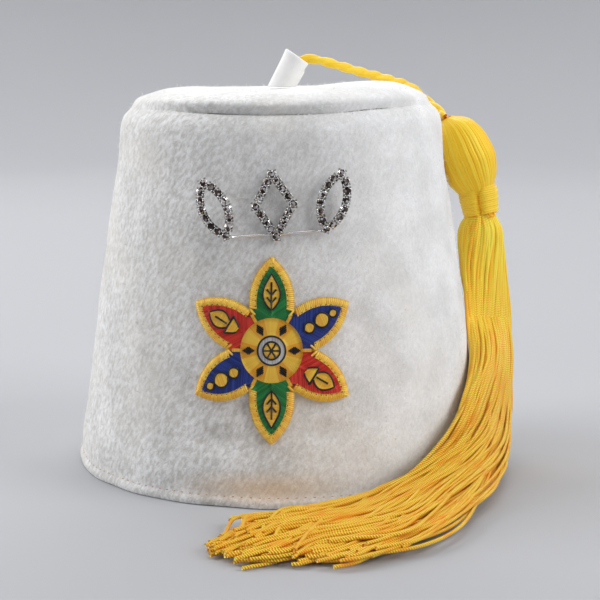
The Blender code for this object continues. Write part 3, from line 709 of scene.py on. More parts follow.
def rayon_thread(name, twist_pitch):
    """Dyed rayon filaments, smooth and translucent, so the thread is glossy like silk.

    Threads vary between lemon and golden orange, and cut ends are paler. A red orange is painted into
    the gaps between threads, found by ambient occlusion: painted shade, for light that passes from
    thread to thread and deepens there. A thread of two plies shows slanting crests, one in each
    twist_pitch mm, with a painted lemon highlight on each crest, painted orange shade in the grooves
    between them, and flushes of orange where it lies loose; all but the highlights fade near the neck.
    With a pitch of 0 fine ridges of filaments run along it, drawn coarser than real.
    """
    material, tree, shader = new_material(
        name, Roughness=0.34, IOR=1.52, Specular_Tint=linear("#FFE27A"))
    strand = add_node(tree, "ShaderNodeAttribute", attribute_name="strand")
    sine = add_node(tree, "ShaderNodeAttribute", attribute_name="sine")
    facts = add_node(tree, "ShaderNodeSeparateXYZ", {0: strand.outputs["Vector"]})
    dye = add_node(tree, "ShaderNodeValToRGB", {"Fac": facts.outputs[0]})
    dye.color_ramp.elements[0].color = linear("#FFA61A")
    dye.color_ramp.elements[1].color = linear("#FFF3A4")
    for tone, colour in RAYON_DYES:
        dye.color_ramp.elements.new(tone).color = linear(colour)
    # Painted shade: a red orange mixed in where ambient occlusion finds gaps between threads.
    gaps = add_node(tree, "ShaderNodeAmbientOcclusion", {"Distance": GAP_REACH * MM}, samples=6)
    open_share = add_node(tree, "ShaderNodeMapRange", {
        "Value": gaps.outputs["AO"], "From Min": 0.14, "From Max": 0.58})
    glow = add_node(tree, "ShaderNodeMix", {
        0: open_share.outputs[0], 6: linear("#F2600A"), 7: dye.outputs["Color"]}, data_type="RGBA")
    if twist_pitch:
        turned_by = add_node(tree, "ShaderNodeMath", {
            0: sine.outputs["Fac"], 1: facts.outputs[2]}, operation="ARCTAN2")
        phase = add_node(tree, "ShaderNodeMath", {
            0: facts.outputs[1], 1: 2 * pi / twist_pitch, 2: turned_by.outputs[0]},
            operation="MULTIPLY_ADD")
        crests = add_node(tree, "ShaderNodeMath", {0: phase.outputs[0]}, operation="COSINE")
        place = add_node(tree, "ShaderNodeTexCoord").outputs["Object"]
        height = add_node(tree, "ShaderNodeSeparateXYZ", {0: place}).outputs[2]
        slack = add_node(tree, "ShaderNodeMapRange", {
            "Value": height, "From Min": SLACK[0] * MM, "From Max": SLACK[1] * MM,
            "To Min": 1.0, "To Max": SLACK[2]})
        # Painted orange shade in the grooves between the plies.
        painted_groove_shade = add_node(tree, "ShaderNodeMapRange", {
            "Value": crests.outputs[0], "From Min": 0.2, "From Max": -0.8,
            "To Max": slack.outputs[0]})
        # A painted lemon highlight on each crest.
        crown = add_node(tree, "ShaderNodeMapRange", {
            "Value": crests.outputs[0], "From Min": -0.2, "From Max": 0.6, "To Max": 0.9})
        crest_highlighted = add_node(tree, "ShaderNodeMix", {
            0: crown.outputs[0], 6: glow.outputs[2], 7: linear("#FFFA60")}, data_type="RGBA")
        own_place = add_node(tree, "ShaderNodeMath", {
            0: facts.outputs[0], 1: FLUSH_APART * MM}, operation="MULTIPLY")
        flush = add_node(tree, "ShaderNodeTexNoise", {
            "Vector": place, "W": own_place.outputs[0], "Scale": 1 / (FLUSH * MM),
            "Detail": 2.0, "Roughness": 0.6}, noise_dimensions="4D")
        flush_share = add_node(tree, "ShaderNodeMapRange", {
            "Value": flush.outputs["Fac"], "From Min": 0.50, "From Max": 0.76,
            "To Max": slack.outputs[0]})
        flushed = add_node(tree, "ShaderNodeMix", {
            0: flush_share.outputs[0], 6: crest_highlighted.outputs[2], 7: linear("#FF9A1E")}, data_type="RGBA")
        colour = add_node(tree, "ShaderNodeMix", {
            0: painted_groove_shade.outputs[0], 6: flushed.outputs[2], 7: linear("#EE7A08")}, data_type="RGBA")
        bump = add_node(tree, "ShaderNodeBump", {
            "Height": crests.outputs[0], "Strength": slack.outputs[0], "Distance": 0.00012})
    else:
        colour = glow
        scaled = add_node(tree, "ShaderNodeVectorMath", {
            0: strand.outputs["Vector"], 1: (7.0, 0.12, 1.5)}, operation="MULTIPLY")
        ridges = add_node(tree, "ShaderNodeTexNoise", {
            "Vector": scaled.outputs[0], "W": sine.outputs["Fac"], "Scale": 1.0, "Detail": 3.0},
            noise_dimensions="4D")
        bump = add_node(tree, "ShaderNodeBump", {
            "Height": ridges.outputs["Fac"], "Strength": 0.35, "Distance": 0.0004})
    tree.links.new(colour.outputs[2], shader.inputs["Base Color"])
    tree.links.new(bump.outputs["Normal"], shader.inputs["Normal"])
    return material


rayon = rayon_thread("bright_rayon_thread", 0.0)


def axes_down(top, foot):
    """Unit vectors from top to foot, away from the felt, and aside."""
    axis = (foot - top) / np.linalg.norm(foot - top)
    out = np.cross((0, 1.0, 0), axis)
    out *= -1 if out[0] < 0 else 1
    out /= np.linalg.norm(out)
    return axis, out, np.cross(axis, out)


head_axis, head_out, head_side = axes_down(TASSEL_TOP, NECK_TOP)
head_length = np.linalg.norm(NECK_TOP - TASSEL_TOP)
head_profile = smooth_path([(share * head_length, radius, bulge)
                            for share, radius, bulge in HEAD_ROWS], HEAD_SPACING)
share = head_profile[:, 0] / head_profile[-1, 0]
core = TASSEL_TOP + head_axis * head_profile[:, :1] + head_out * head_profile[:, 2:3]
chance = np.random.default_rng(31)
groove_at = np.sort(chance.uniform(0, 2 * pi, HEAD_GROOVES[0]))
head_parts = []
for thread in range(HEAD_THREADS):
    angle = 2 * pi * (thread + chance.uniform(-0.25, 0.25)) / HEAD_THREADS
    nearest = np.min(np.abs((angle - groove_at + pi) % (2 * pi) - pi))
    sunk = HEAD_GROOVES[2] * soft_window(nearest / HEAD_GROOVES[1]) + chance.uniform(0, 0.14)
    thick = HEAD_THREAD * np.clip(head_profile[:, 1] / HEAD_FULL, 0.35, 1.0)
    bend = angle + HEAD_SWAY * np.sin(pi * share) * chance.normal(0.6, 0.4)
    radius = head_profile[:, 1] - thick - sunk * np.sin(pi * share) ** 0.7
    path = core + radius[:, None] * (
        np.cos(bend)[:, None] * head_out + np.sin(bend)[:, None] * head_side)
    # Threads sunk in the deeper gaps get a deeper tone: painted shade.
    tone = np.clip(chance.normal(0.55, 0.10) - 0.2 * (sunk > 0.3), 0, 0.9)
    head_parts.append(
        tube_part(path, thick * chance.uniform(0.95, 1.08), 8, (0.1, 1.0, 0.2), tone=tone))
# The strands under the threads, drawn in the deepest tone: painted shade.
head_parts.append(tube_part(core, np.maximum(0.5, head_profile[:, 1] - HEAD_CORE), 24,
                            (0.0, 1.0, 0.0), tone=0.1))
tassel_head = joined_object("tassel_head", head_parts, rayon)
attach(tassel_head, "root")


# --- Neck binding -----------------------------------------------------------------------------
# The same thread wound tightly round the strands below the head. The turns lie level and close,
# and draw in to a crease in front; the tucked end shows as a small loose loop at the foot.
BINDING_ROWS = [                # (down from the neck's top, radius to the middle of the thread), mm
    (-0.6, 7.7),
    (0.8, 8.2),
    (4.0, 8.2),
    (8.0, 7.7),
    (11.4, 7.2),
]
BINDING_THREAD = 0.62           # mm, radius
BINDING_PITCH = 0.92            # mm from turn to turn
BINDING_STEPS = 40              # rings of the thread in each turn
BINDING_CREASE = (radians(96), 0.26, 1.5)   # (where, half width in radians, depth in mm)
BINDING_TUCK = (2.0, 0.5)       # mm that the thread's ends are tucked in, over so many radians
BINDING_WAVER = (0.12, 0.37)    # mm by which the turns stand out unevenly, and waves in a turn
LOOP_TURN = radians(60)
LOOP_HALF = 0.16                # radians, half the width of the loose loop
LOOP_DOWN = (-0.4, 1.6)         # mm below the binding's foot: its ends, and its middle further down
LOOP_OUT = (7.9, 0.6)           # mm from the neck's middle: its ends, and its middle further out
LOOP_THREAD = 0.45
NECK_CORE = 2.9                 # mm from the thread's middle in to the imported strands
NECK_CORE_SHORT = 1.6           # mm that they end above the binding's foot

neck_axis, neck_out, neck_side = axes_down(NECK_TOP, NECK_FOOT)


def on_neck(down, angle, radius):
    """Points round the neck: mm below its top, angle from the side away from the felt, radius."""
    ring = np.cos(angle)[:, None] * neck_out + np.sin(angle)[:, None] * neck_side
    return NECK_TOP + down[:, None] * neck_axis + radius[:, None] * ring


binding_top, binding_foot = BINDING_ROWS[0][0], BINDING_ROWS[-1][0]
turns = (binding_foot - binding_top) / BINDING_PITCH
angle = np.linspace(0, 2 * pi * turns, int(turns * BINDING_STEPS))
down = binding_top + angle / (2 * pi) * BINDING_PITCH
crease_at, crease_half, crease_depth = BINDING_CREASE
crease = crease_depth * soft_window(((angle - crease_at + pi) % (2 * pi) - pi) / crease_half)
uneven, waves_in_turn = BINDING_WAVER
radius = np.interp(down, *zip(*BINDING_ROWS)) - crease + uneven * np.sin(angle * waves_in_turn)
tuck, tuck_reach = BINDING_TUCK
radius -= tuck * (soft_window(angle / tuck_reach) + soft_window((angle[-1] - angle) / tuck_reach))
# The turns in the crease are drawn in a deeper tone: painted shade.
binding_parts = [tube_part(on_neck(down, angle, radius), BINDING_THREAD, 8, tuple(neck_axis),
                           tone=0.65 - 0.25 * crease)]
loop_turn = np.linspace(0, pi, 14)
loop = on_neck(binding_foot + LOOP_DOWN[0] + LOOP_DOWN[1] * np.sin(loop_turn),
               LOOP_TURN + LOOP_HALF * np.cos(loop_turn),
               LOOP_OUT[0] + LOOP_OUT[1] * np.sin(loop_turn))
binding_parts.append(tube_part(loop, LOOP_THREAD, 8, tuple(neck_out), tone=0.15))
# The strands inside the binding, drawn in the deepest tone: painted shade.
core_down = np.linspace(binding_top, binding_foot - NECK_CORE_SHORT, 8)
binding_parts.append(tube_part(NECK_TOP + core_down[:, None] * neck_axis,
                               np.interp(core_down, *zip(*BINDING_ROWS)) - NECK_CORE, 24,
                               (0.0, 1.0, 0.0), tone=0.1))
neck_binding = joined_object("neck_winding", binding_parts, rayon)
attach(neck_binding, "root")
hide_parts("neck_binding")


# --- Cord -------------------------------------------------------------------------------------
# Two plies of the same rayon twisted together. The cord comes out of the stem, lies over the back
# of the top's edge, and goes down beside the wall into the tassel's head.
CORD_ROUTE = [                  # mm
    (1.4, 0.0, 161.9),
    (3.0, 0.0, 165.0),
    (4.9, 0.0, 168.5),
    (7.0, 0.0, 171.0),
    (9.9, 0.0, 172.4),
    (13.4, 0.1, 172.4),
    (19.0, 1.6, 171.3),
    (27.6, 6.3, 168.8),
    (35.8, 12.0, 166.4),
    (44.2, 18.8, 164.1),
    (50.8, 25.0, 162.1),
    (55.4, 29.2, 160.6),
    (59.2, 31.4, 158.4),
    (62.0, 31.2, 155.9),
    (64.6, 29.6, 153.6),
    (67.0, 26.8, 151.7),
    (69.0, 23.6, 150.0),
    (70.8, 20.8, 148.0),
    (71.9, 18.9, 146.4),
]
CORD_SPACING = 0.6              # mm between the rings of a ply
PLY_RADIUS = 1.5
PLY_OFFSET = 0.62               # mm from the cord's middle to the ply's
PLY_PITCH = 16.8                # mm along the cord for one full turn of a ply
CORD_GUIDE = np.array((0.0, 1.0, 0.1))

cord_line = smooth_path(CORD_ROUTE, CORD_SPACING)
cord_length = lengths_along(cord_line)[-1]
side, up = across_path(cord_line, CORD_GUIDE)
cord_parts = []
for ply in (0, 1):
    turn = 2 * pi * np.linspace(0, cord_length, len(cord_line)) / PLY_PITCH + pi * ply
    path = cord_line + PLY_OFFSET * (np.cos(turn)[:, None] * side + np.sin(turn)[:, None] * up)
    cord_parts.append(tube_part(path, PLY_RADIUS, 16, CORD_GUIDE, tone=0.5 + 0.1 * ply,
                                spin=turn / pi))
cord = joined_object("twisted_cord", cord_parts, rayon)
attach(cord, "root")
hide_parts("hanging_cord")


# --- Skirt ------------------------------------------------------------------------------------
# Some 210 two-ply rayon strands hang from the neck beside the felt, in a shell round the packed
# inner ones, then swing forward, spread, and lie along the surface in a fan. Each is cut square,
# so its end shows the paler inside of the thread.
SKIRT_ROWS = [                  # (edge by the felt), (outer edge), (half way to next layer), radius
    ((87.7, 17.7, 107.6), (89.5, 17.7, 107.3), (0.0, 1.1, 0.0), 3.4),
    ((86.3, 17.6, 103.2), (90.9, 17.6, 103.0), (0.0, 2.4, 0.0), 4.8),
    ((83.1, 17.0, 96.0), (94.4, 17.0, 96.0), (0.0, 5.0, 0.0), 4.0),
    ((83.9, 13.0, 80.0), (95.4, 15.0, 80.0), (1.8, 5.1, 0.0), 4.2),
    ((86.0, 2.0, 62.0), (97.0, 11.0, 60.0), (3.4, 4.3, 0.7), 4.2),
    ((85.4, -20.0, 47.5), (97.4, 4.0, 38.0), (4.4, 2.9, 1.4), 4.1),
    ((78.6, -43.6, 33.5), (97.2, -8.4, 19.0), (3.4, 1.4, 2.4), 3.9),
    ((68.6, -64.8, 21.5), (95.2, -29.4, 8.2), (2.4, 0.2, 2.5), 3.7),
    ((54.5, -81.6, 12.0), (89.6, -58.0, 6.1), (0.6, 0.0, 2.3), 3.5),
    ((38.0, -93.0, 7.4), (78.8, -92.0, 5.5), (0.0, 0.0, 1.9), 3.2),
    ((19.5, -105.0, 4.8), (64.5, -126.0, 4.7), (0.0, 0.0, 1.4), 2.9),
    ((2.5, -111.0, 4.4), (49.5, -149.5, 4.3), (0.0, 0.0, 1.2), 2.7),
    ((-12.5, -117.0, 3.9), (30.5, -164.5, 3.8), (0.0, 0.0, 0.9), 2.5),
    ((-21.5, -129.0, 3.3), (12.5, -171.5, 3.2), (0.0, 0.0, 0.6), 2.2),
    ((-29.5, -143.0, 2.7), (-13.0, -174.5, 2.6), (0.0, 0.0, 0.3), 2.1),
]
LAST_ROW = len(SKIRT_ROWS) - 1
STRANDS = 210
STRAND_RADIUS = 0.72            # mm
STRAND_SWELLS = [(30.0, 1.0), (100.0, 1.22)]    # (height, times thicker)
TWIST_PITCH = 1.05              # mm from crest to crest along a strand
STRAND_SIDES = 6
STRAND_SPACING = 3.4            # mm between its rings
END_RING = 0.15                 # share of the last stretch, from the cut end to one more ring
STRAND_GUIDE = (1.0, -1.0, 0.25)
SKIRT_BUNDLES = 4               # objects that share the strands
FAN_CORNERS = 2.0               # rows by which the strands at the fan's two sides end sooner
ENDS_APART = 1.5                # rows over which the ends lie scattered
SHORT_SHARE = 0.15              # share of the strands that are cut well short
SHORT_BY = (0.5, 1.6)           # rows
WAVER = [(0, 0.0), (2, 0.05), (6, 0.08), (9, 0.10), (14, 0.24)]     # (row, how far strands stray)
STRAY_SHARE = 0.12              # share of the upper strands whose ends lie right across the others
STRAY_FROM = (11.2, 12.0)       # rows
PARTING = (-0.15, 2.4, 1.5, 0.09)   # in front: (across, row, half length, half width)
FILL = [(1, 0.94), (2, 1.03), (6, 1.03), (8, 0.94)]     # (row, share of the locks' width)
SHELL = 0.78                    # how far the column's strands are pressed out to its skin
DIVE = (1.5, 4.5)               # rows: the first where a strand may dive inwards, and for how many
ACROSS_LIMITS = (-1.08, 1.08)   # how far from the skirt's middle a strand may stray, edges at -1, 1
LAYER_LIMITS = (-1, 1.3)        # the same from the bottom layer to the top one
GOLDEN_TURN = pi * (3 - 5 ** 0.5)
CORE_END = 12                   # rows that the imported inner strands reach, drawn as one body
CORE_SHARES = [(0, 0.74), (5, 0.74), (7, 0.60), (10, 0.48), (11, 0.20)]     # (row, share filled)
CORE_SPACING = 5.0              # mm between its rings, where a whole share counts as CORE_WEIGHT mm
CORE_WEIGHT = 99.0
CORE_SIDES = 24


def extended(vector, by):
    """The same direction, longer by so many mm."""
    length = np.linalg.norm(vector, axis=1, keepdims=True)
    return vector / length * (length + by)


inner, outer, layer, lock = (np.array(column, float) for column in zip(*SKIRT_ROWS))
skirt_middle = (inner + outer) / 2
skirt_across = extended((outer - inner) / 2, lock[:, None] - STRAND_RADIUS)
skirt_layer = extended(layer, lock[:, None] - STRAND_RADIUS)
row = np.arange(len(SKIRT_ROWS))
chance = np.random.default_rng(41)
skirt_parts = [[] for _ in range(SKIRT_BUNDLES)]
for strand_number in range(STRANDS):
    spread = ((strand_number + 0.5) / STRANDS) ** 0.5
    across = spread * np.cos(strand_number * GOLDEN_TURN)
    depth = spread * np.sin(strand_number * GOLDEN_TURN)
    side_share = across ** 1.3 if across > 0 else across ** 6
    last = LAST_ROW - FAN_CORNERS * side_share - ENDS_APART * chance.random() ** 1.6
    if chance.random() < SHORT_SHARE:
        last -= chance.uniform(*SHORT_BY)
    waver = chance.normal(0, 1, (2, 5))
    freedom = np.interp(row, *zip(*WAVER))
    swing = [sum(waver[axis, k] * np.sin((k + 1) * 0.45 * row + waver[axis, (k + 1) % 5] * 3)
                 for k in range(5)) / 2 for axis in (0, 1)]
    if depth > 0.2 and abs(across) < 0.6 and chance.random() < STRAY_SHARE:
        loose = np.clip(row - chance.uniform(*STRAY_FROM), 0, 4)
        swing[0] = swing[0] + chance.uniform(0.4, 1.3) * loose
        swing[1] = swing[1] + 3.0 * np.minimum(loose, 1.0)
    at, place, half_length, half_width = PARTING
    parted = soft_window((row - place) / half_length) * np.exp(-((across - at) / 0.3) ** 2)
    aside = half_width * parted * np.sign(across - at) * (depth < 0.3)
    dive = DIVE[0] + DIVE[1] * (strand_number * GOLDEN_TURN % 1)
    pressed = np.interp(row, (dive, dive + DIVE[1]), (SHELL, 0.0))
    out = pressed / spread + 1 - pressed
    fill = np.interp(row, *zip(*FILL))
    u = np.clip(fill * out * across + freedom * swing[0] + aside, *ACROSS_LIMITS)
    v = np.clip(out * depth + freedom * swing[1], *LAYER_LIMITS)
    knots = skirt_middle + u[:, None] * skirt_across + v[:, None] * skirt_layer
    end = int(last)
    cut = knots[end] + (last - end) * (knots[min(end + 1, LAST_ROW)] - knots[end])
    path = smooth_path(np.vstack([knots[:end + 1], cut]), STRAND_SPACING)
    path = np.insert(path, -1, path[-1] + (path[-2] - path[-1]) * END_RING, axis=0)
    path[:, 2] = np.maximum(path[:, 2], STRAND_RADIUS)
    tone = np.full(len(path), np.clip(chance.normal(0.5, 0.27), 0, 0.85))
    tone[-1] = 1.0
    part = tube_part(path, STRAND_RADIUS * np.interp(path[:, 2], *zip(*STRAND_SWELLS)), STRAND_SIDES,
                     STRAND_GUIDE, tone=tone, spin=chance.uniform(), plies=2)
    skirt_parts[strand_number % SKIRT_BUNDLES].append(part)
filled = CORE_WEIGHT * np.interp(row, *zip(*CORE_SHARES))[:, None]
core_knots = np.hstack([skirt_middle, skirt_across, skirt_layer, filled])[:CORE_END]
core_rings = smooth_path(core_knots, CORE_SPACING)[:, None]
middle, across, layer, share = np.split(core_rings, (3, 6, 9), axis=2)
core_turn = np.linspace(0, 2 * pi, CORE_SIDES, endpoint=False)[:, None]
core_points = middle + share / CORE_WEIGHT * (np.cos(core_turn) * across + np.sin(core_turn) * layer)
# The same rayon where strands lie packed in each other's shade: no gloss, and a deep red orange that is
# painted shade.
packed_rayon = new_material("packed_rayon_strands", Base_Color=linear("#D65A04"), Roughness=0.8)[0]
core = object_from("skirt_core", core_points.reshape(-1, 3),
                   grid_quads(len(core_rings), CORE_SIDES, True), packed_rayon)
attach(core, "root")
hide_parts("tassel")
skirt_rayon = rayon_thread("two_ply_rayon_strand", TWIST_PITCH)
for number, parts in enumerate(skirt_parts):
    strands = joined_object(f"skirt_strands_{number}", parts, skirt_rayon)
    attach(strands, "root")
    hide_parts("tassel")


# --- Hem stitches -----------------------------------------------------------------------------
# A line of machine stitches holds the turned hem flat. The thread has sunk into the felt, so that
# each stitch shows only as a small rusty brown dot in the groove above the hem.
STITCH_HEIGHT = 4.1
STITCH_PITCH = 3.6
STITCH_LENGTH = 0.9
STITCH_THREAD = 0.24            # mm, radius

# Twisted cotton drawn through wax: dull; its rusty brown is darker than the tan thread, painted shade of
# the groove it has sunk into.
stitch_thread = new_material("waxed_cotton_thread", Base_Color=linear("#A8642C"), Roughness=0.7)[0]
around = 2 * pi * np.interp(STITCH_HEIGHT, wall_profile[:, 0], wall_profile[:, 1])
stitch_ring = skin[int(np.argmin(np.abs(wall_profile[:, 0] - STITCH_HEIGHT)))]
stitch_parts = []
for number in range(int(around / STITCH_PITCH)):
    middle = -pi + 2 * pi * number * STITCH_PITCH / around
    along = np.linspace(-0.5, 0.5, 4) * STITCH_LENGTH / around * 2 * pi
    columns_round = np.interp((middle + along + pi) % (2 * pi),
                              np.linspace(0, 2 * pi, WALL_SIDES + 1)[:-1],
                              np.arange(WALL_SIDES), period=2 * pi)
    column = np.floor(columns_round).astype(int)
    part = (columns_round - column)[:, None]
    path = stitch_ring[column % WALL_SIDES] * (1 - part) + stitch_ring[(column + 1) % WALL_SIDES] * part
    path[:, 2] = STITCH_HEIGHT
    stitch_parts.append(tube_part(path, STITCH_THREAD, 6, (0.0, 0.0, 1.0)))
hem_stitches = joined_object("hem_stitches", stitch_parts, stitch_thread)
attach(hem_stitches, "root")


# --- Patch ------------------------------------------------------------------------------------
# A badge of six petals, embroidered by machine on stiff twill and sewn flat to the felt: a thick
# overlocked gold edge, satin fields in green, blue and red, and a gold rosette on white.
PATCH_ACROSS = -3.0
PATCH_HEIGHT = 61.0
PATCH_GAP = 0.8                 # mm, felt to the back of the twill
TWILL = 0.9                     # mm, thickness
PETALS = 6
PETAL_TIP = 36.0                # mm from the middle
PETAL_NOTCH = 17.5              # the same of the notch between two petals
PETAL_BULGE = 3.2
FIELD_COLOURS = ("green", "red", "blue")     # from the top, anticlockwise, and again
EDGE_WIDTH = 2.7                # mm of twill that the overlocked edge covers
EDGE_PITCH = 0.80               # mm from one wrap of the edge to the next
EDGE_THREAD = 0.47
EDGE_SLANT = 0.35               # mm that each end of a wrap lies off its middle, along the edge
EDGE_ARCH = 0.62
SATIN_PITCH = 0.40              # mm between the threads of a satin field, about twice the real one
SATIN_THREAD = 0.235
SATIN_SLANT = radians(58)       # from the petal's middle line
SATIN_ARCH = 0.22
THREAD_GUIDE = (0.05, -1.0, 0.1)        # about straight out of the felt: a thread's first corner
FIELD_LIFT = 1.95               # mm, felt to the ends of a field's threads
MOTIF_LIFT = 2.35
RING = (5.6, 12.6)              # mm, inner and outer radius of the gold ring
BLACK_CORD = 0.38
ROSETTE_RAYS = 150
WHEEL = (0.4, 3.3, 3.4)         # mm: inner and outer end of its gold rays, and its black rim
WHEEL_RAYS = 26
TACK_PITCH = 2.3                # mm between the stitches that hold the patch
TACK_HALF = 0.28                # mm, half the length of one
TACK_INSET = EDGE_WIDTH * 0.86
TACK_LIFT = 2.32
TACK_THREAD = 0.17
BAND_HALF_WIDTH = 0.62          # mm, of the gold band between two petals' fields
BAND_LIFT = 2.15
THREAD_COLOURS = {              # (deep, bright)
    "green": ("#146B33", "#2E9A52"),
    "red": ("#C4241B", "#F04A38"),
    "blue": ("#15266E", "#2F4BA8"),
    "gold": ("#F0A826", "#FFDC58"),
    "white": ("#C8C8CC", "#F4F4F6"),
    "black": ("#0B0B0C", "#1A1A1C"),
}


def on_front(flat, lift):
    """Points of the patch's flat drawing, laid on the felt's front and lifted off it."""
    flat = np.asarray(flat, float)
    height = PATCH_HEIGHT + flat[..., 1]
    radius = np.interp(height, *zip(*WALL_ROWS))
    return settled(radius + lift, (PATCH_ACROSS + flat[..., 0]) / radius, height)


def embroidery_thread(name, deep, bright):
    """Trilobal polyester thread laid in flat parallel stitches, which shine like satin.

    Each stitch is drawn a little lighter or darker, between its deep and its bright colour: painted
    light, for the way each one takes the light.
    """
    material, tree, shader = new_material(name, Roughness=0.40, IOR=1.55)
    strand = add_node(tree, "ShaderNodeAttribute", attribute_name="strand")
    facts = add_node(tree, "ShaderNodeSeparateXYZ", {0: strand.outputs["Vector"]})
    dye = add_node(tree, "ShaderNodeMix", {
        0: facts.outputs[0], 6: linear(deep), 7: linear(bright)}, data_type="RGBA")
    tree.links.new(dye.outputs[2], shader.inputs["Base Color"])
    return material


thread_parts = {colour: [] for colour in THREAD_COLOURS}


def sew(colour, start, end, lift, arch, thread, tone, sides=4):
    """Lay a stitch between two points of the drawing; lift is its height over the felt there."""
    t = np.linspace(0, 1, 5)[:, None]
    flat = np.asarray(start) * (1 - t) + np.asarray(end) * t
    height = np.interp(t[:, 0], (0, 1), np.broadcast_to(lift, 2)) + arch * np.sin(pi * t[:, 0])
    thread_parts[colour].append(
        tube_part(on_front(flat, height), thread, sides, THREAD_GUIDE, tone=tone, spin=0.1))


def petal_point(petal, along, across):
    """A point of a petal's own drawing: mm from the patch's middle, and mm off its middle line."""
    turn = pi / 2 + petal * 2 * pi / PETALS
    along, across = np.asarray(along, float), np.asarray(across, float)
    return np.stack([along * cos(turn) - across * sin(turn), along * sin(turn) + across * cos(turn)],
                    axis=-1)


half_turn = pi / PETALS
notch = np.array((PETAL_NOTCH * cos(half_turn), PETAL_NOTCH * sin(half_turn)))
edge_share = np.linspace(0, 1, 25)[:, None]
edge_chord = notch - (PETAL_TIP, 0.0)
edge_out = np.array((-edge_chord[1], edge_chord[0])) / np.linalg.norm(edge_chord)
edge_out *= 1 if edge_out[1] > 0 else -1
petal_edge = ((PETAL_TIP, 0.0) + edge_chord * edge_share
              + edge_out * PETAL_BULGE * 4 * edge_share * (1 - edge_share))
outline = np.vstack([
    np.vstack([petal_point(petal, *petal_edge[:-1].T),
               petal_point(petal + 1, *(petal_edge[:0:-1] * (1, -1)).T)])
    for petal in range(PETALS)])
outline = np.vstack([outline, outline[:1]])
edge_at = lengths_along(outline)
edge_length = edge_at[-1]
chance = np.random.default_rng(51)


def petal_half_width(along):
    """How far the field reaches on each side of a petal's middle line."""
    outer = np.interp(along, petal_edge[::-1, 0], petal_edge[::-1, 1]) - 0.62 * EDGE_WIDTH
    between = along * np.tan(half_turn) - 0.55
    return np.where(along < notch[0], np.minimum(between, notch[1]), outer)


for petal in range(PETALS):
    colour = FIELD_COLOURS[petal % len(FIELD_COLOURS)]
    for start in np.arange(RING[1] - 6.5, PETAL_TIP - 2.6, SATIN_PITCH / sin(SATIN_SLANT)):
        for side in (-1, 1):
            reach = np.linspace(0.1, 16, 160)
            inside = reach * sin(SATIN_SLANT) < petal_half_width(start + reach * cos(SATIN_SLANT))
            length = reach[np.argmin(inside)] if inside[0] else 0.0
            if length < 0.6:
                continue
            ends = petal_point(petal, (start - 0.2, start + length * cos(SATIN_SLANT)),
                               (-0.2 * side, side * length * sin(SATIN_SLANT)))
            sew(colour, *ends, FIELD_LIFT + chance.uniform(-0.05, 0.05), SATIN_ARCH,
                SATIN_THREAD, chance.uniform(0, 1))


def on_edge(distance, inset):
    """The point so far round the patch's outline, and so far in from it."""
    place, ahead, behind = [np.array([np.interp((distance + step) % edge_length, edge_at, column)
                                      for column in outline.T]) for step in (0, 0.9, -0.9)]
    along = (ahead - behind) / np.linalg.norm(ahead - behind)
    return place + inset * np.array((-along[1], along[0]))


wraps = round(edge_length / EDGE_PITCH)
for wrap in range(wraps):
    distance = wrap * edge_length / wraps
    sew("gold", on_edge(distance - EDGE_SLANT, -0.1), on_edge(distance + EDGE_SLANT, EDGE_WIDTH),
        (1.05, FIELD_LIFT - 0.1), EDGE_ARCH, EDGE_THREAD, chance.uniform(0.25, 0.9), sides=6)
for tack in range(round(edge_length / TACK_PITCH)):
    distance = (tack + 0.5) * TACK_PITCH
    sew("black", on_edge(distance - TACK_HALF, TACK_INSET),
        on_edge(distance + TACK_HALF, TACK_INSET), TACK_LIFT, 0.05, TACK_THREAD, 1.0)
for petal in range(PETALS):         # a narrow gold band between two petals' fields
    for along in np.arange(RING[1] - 0.5, PETAL_NOTCH - 1.6, SATIN_PITCH):
        across = np.array((-sin(half_turn), cos(half_turn))) * BAND_HALF_WIDTH
        ends = [petal_point(petal, *((along * cos(half_turn), along * sin(half_turn)) + side * across))
                for side in (-1, 1)]
        sew("gold", *ends, BAND_LIFT, 0.15, SATIN_THREAD, chance.uniform(0.1, 0.7))


def black_line(flat, lift):
    """A raised line of black satin, drawn as one cord along points of the drawing."""
    thread_parts["black"].append(tube_part(on_front(flat, lift), BLACK_CORD, 6, THREAD_GUIDE))


def filled_motif(petal, along, half_width):
    """A gold satin shape on a petal, between two mirrored edges, with a black line round it."""
    at = np.arange(along[0] + 0.3, along[-1] - 0.2, SATIN_PITCH)
    for place, half in zip(at, np.interp(at, along, half_width)):
        ends = petal_point(petal, (place - 0.25, place + 0.25), (-half, half))
        sew("gold", *ends, MOTIF_LIFT, 0.25, SATIN_THREAD, chance.uniform(0.3, 1))
    rim = np.concatenate([np.stack([along, half_width], axis=1),
                          np.stack([along, -half_width], axis=1)[::-1]])
    black_line(petal_point(petal, *smooth_path(rim, 0.7).T), MOTIF_LIFT + 0.15)


share = np.linspace(0, 1, 15)
for petal in range(PETALS):
    if petal % 3 == 0:              # a leaf with a midrib and side veins
        filled_motif(petal, 15.6 + 14.0 * share, 3.5 * np.sin(pi * share ** 0.85))
        black_line(petal_point(petal, (15.8, 20.0, 26.5), (0.0, 0.1, 0.0)), MOTIF_LIFT + 0.45)
        for along in (18.5, 21.5):
            for side in (-1, 1):
                vein = petal_point(petal, (along, along + 2.2), (0.0, 1.9 * side))
                black_line(vein, MOTIF_LIFT + 0.4)
    elif petal % 3 == 1:            # a bud in its cup
        filled_motif(petal, 20.2 + 8.6 * share, 3.4 * np.sin(pi * (0.12 + 0.88 * share)) ** 0.8)
        filled_motif(petal, 15.8 + 4.0 * share, 1.0 + 2.6 * share ** 0.7)
        black_line(petal_point(petal, (20.6, 26.0), (0.0, 0.0)), MOTIF_LIFT + 0.45)
    else:                           # three beads on a stalk
        for first, half in ((15.4, 2.1), (20.4, 2.9), (26.8, 1.6)):
            filled_motif(petal, first + 2 * half * share, half * np.sin(pi * share) ** 0.5)


def ray(turn):
    """The unit vector at an angle in the drawing."""
    return np.array((cos(turn), sin(turn)))


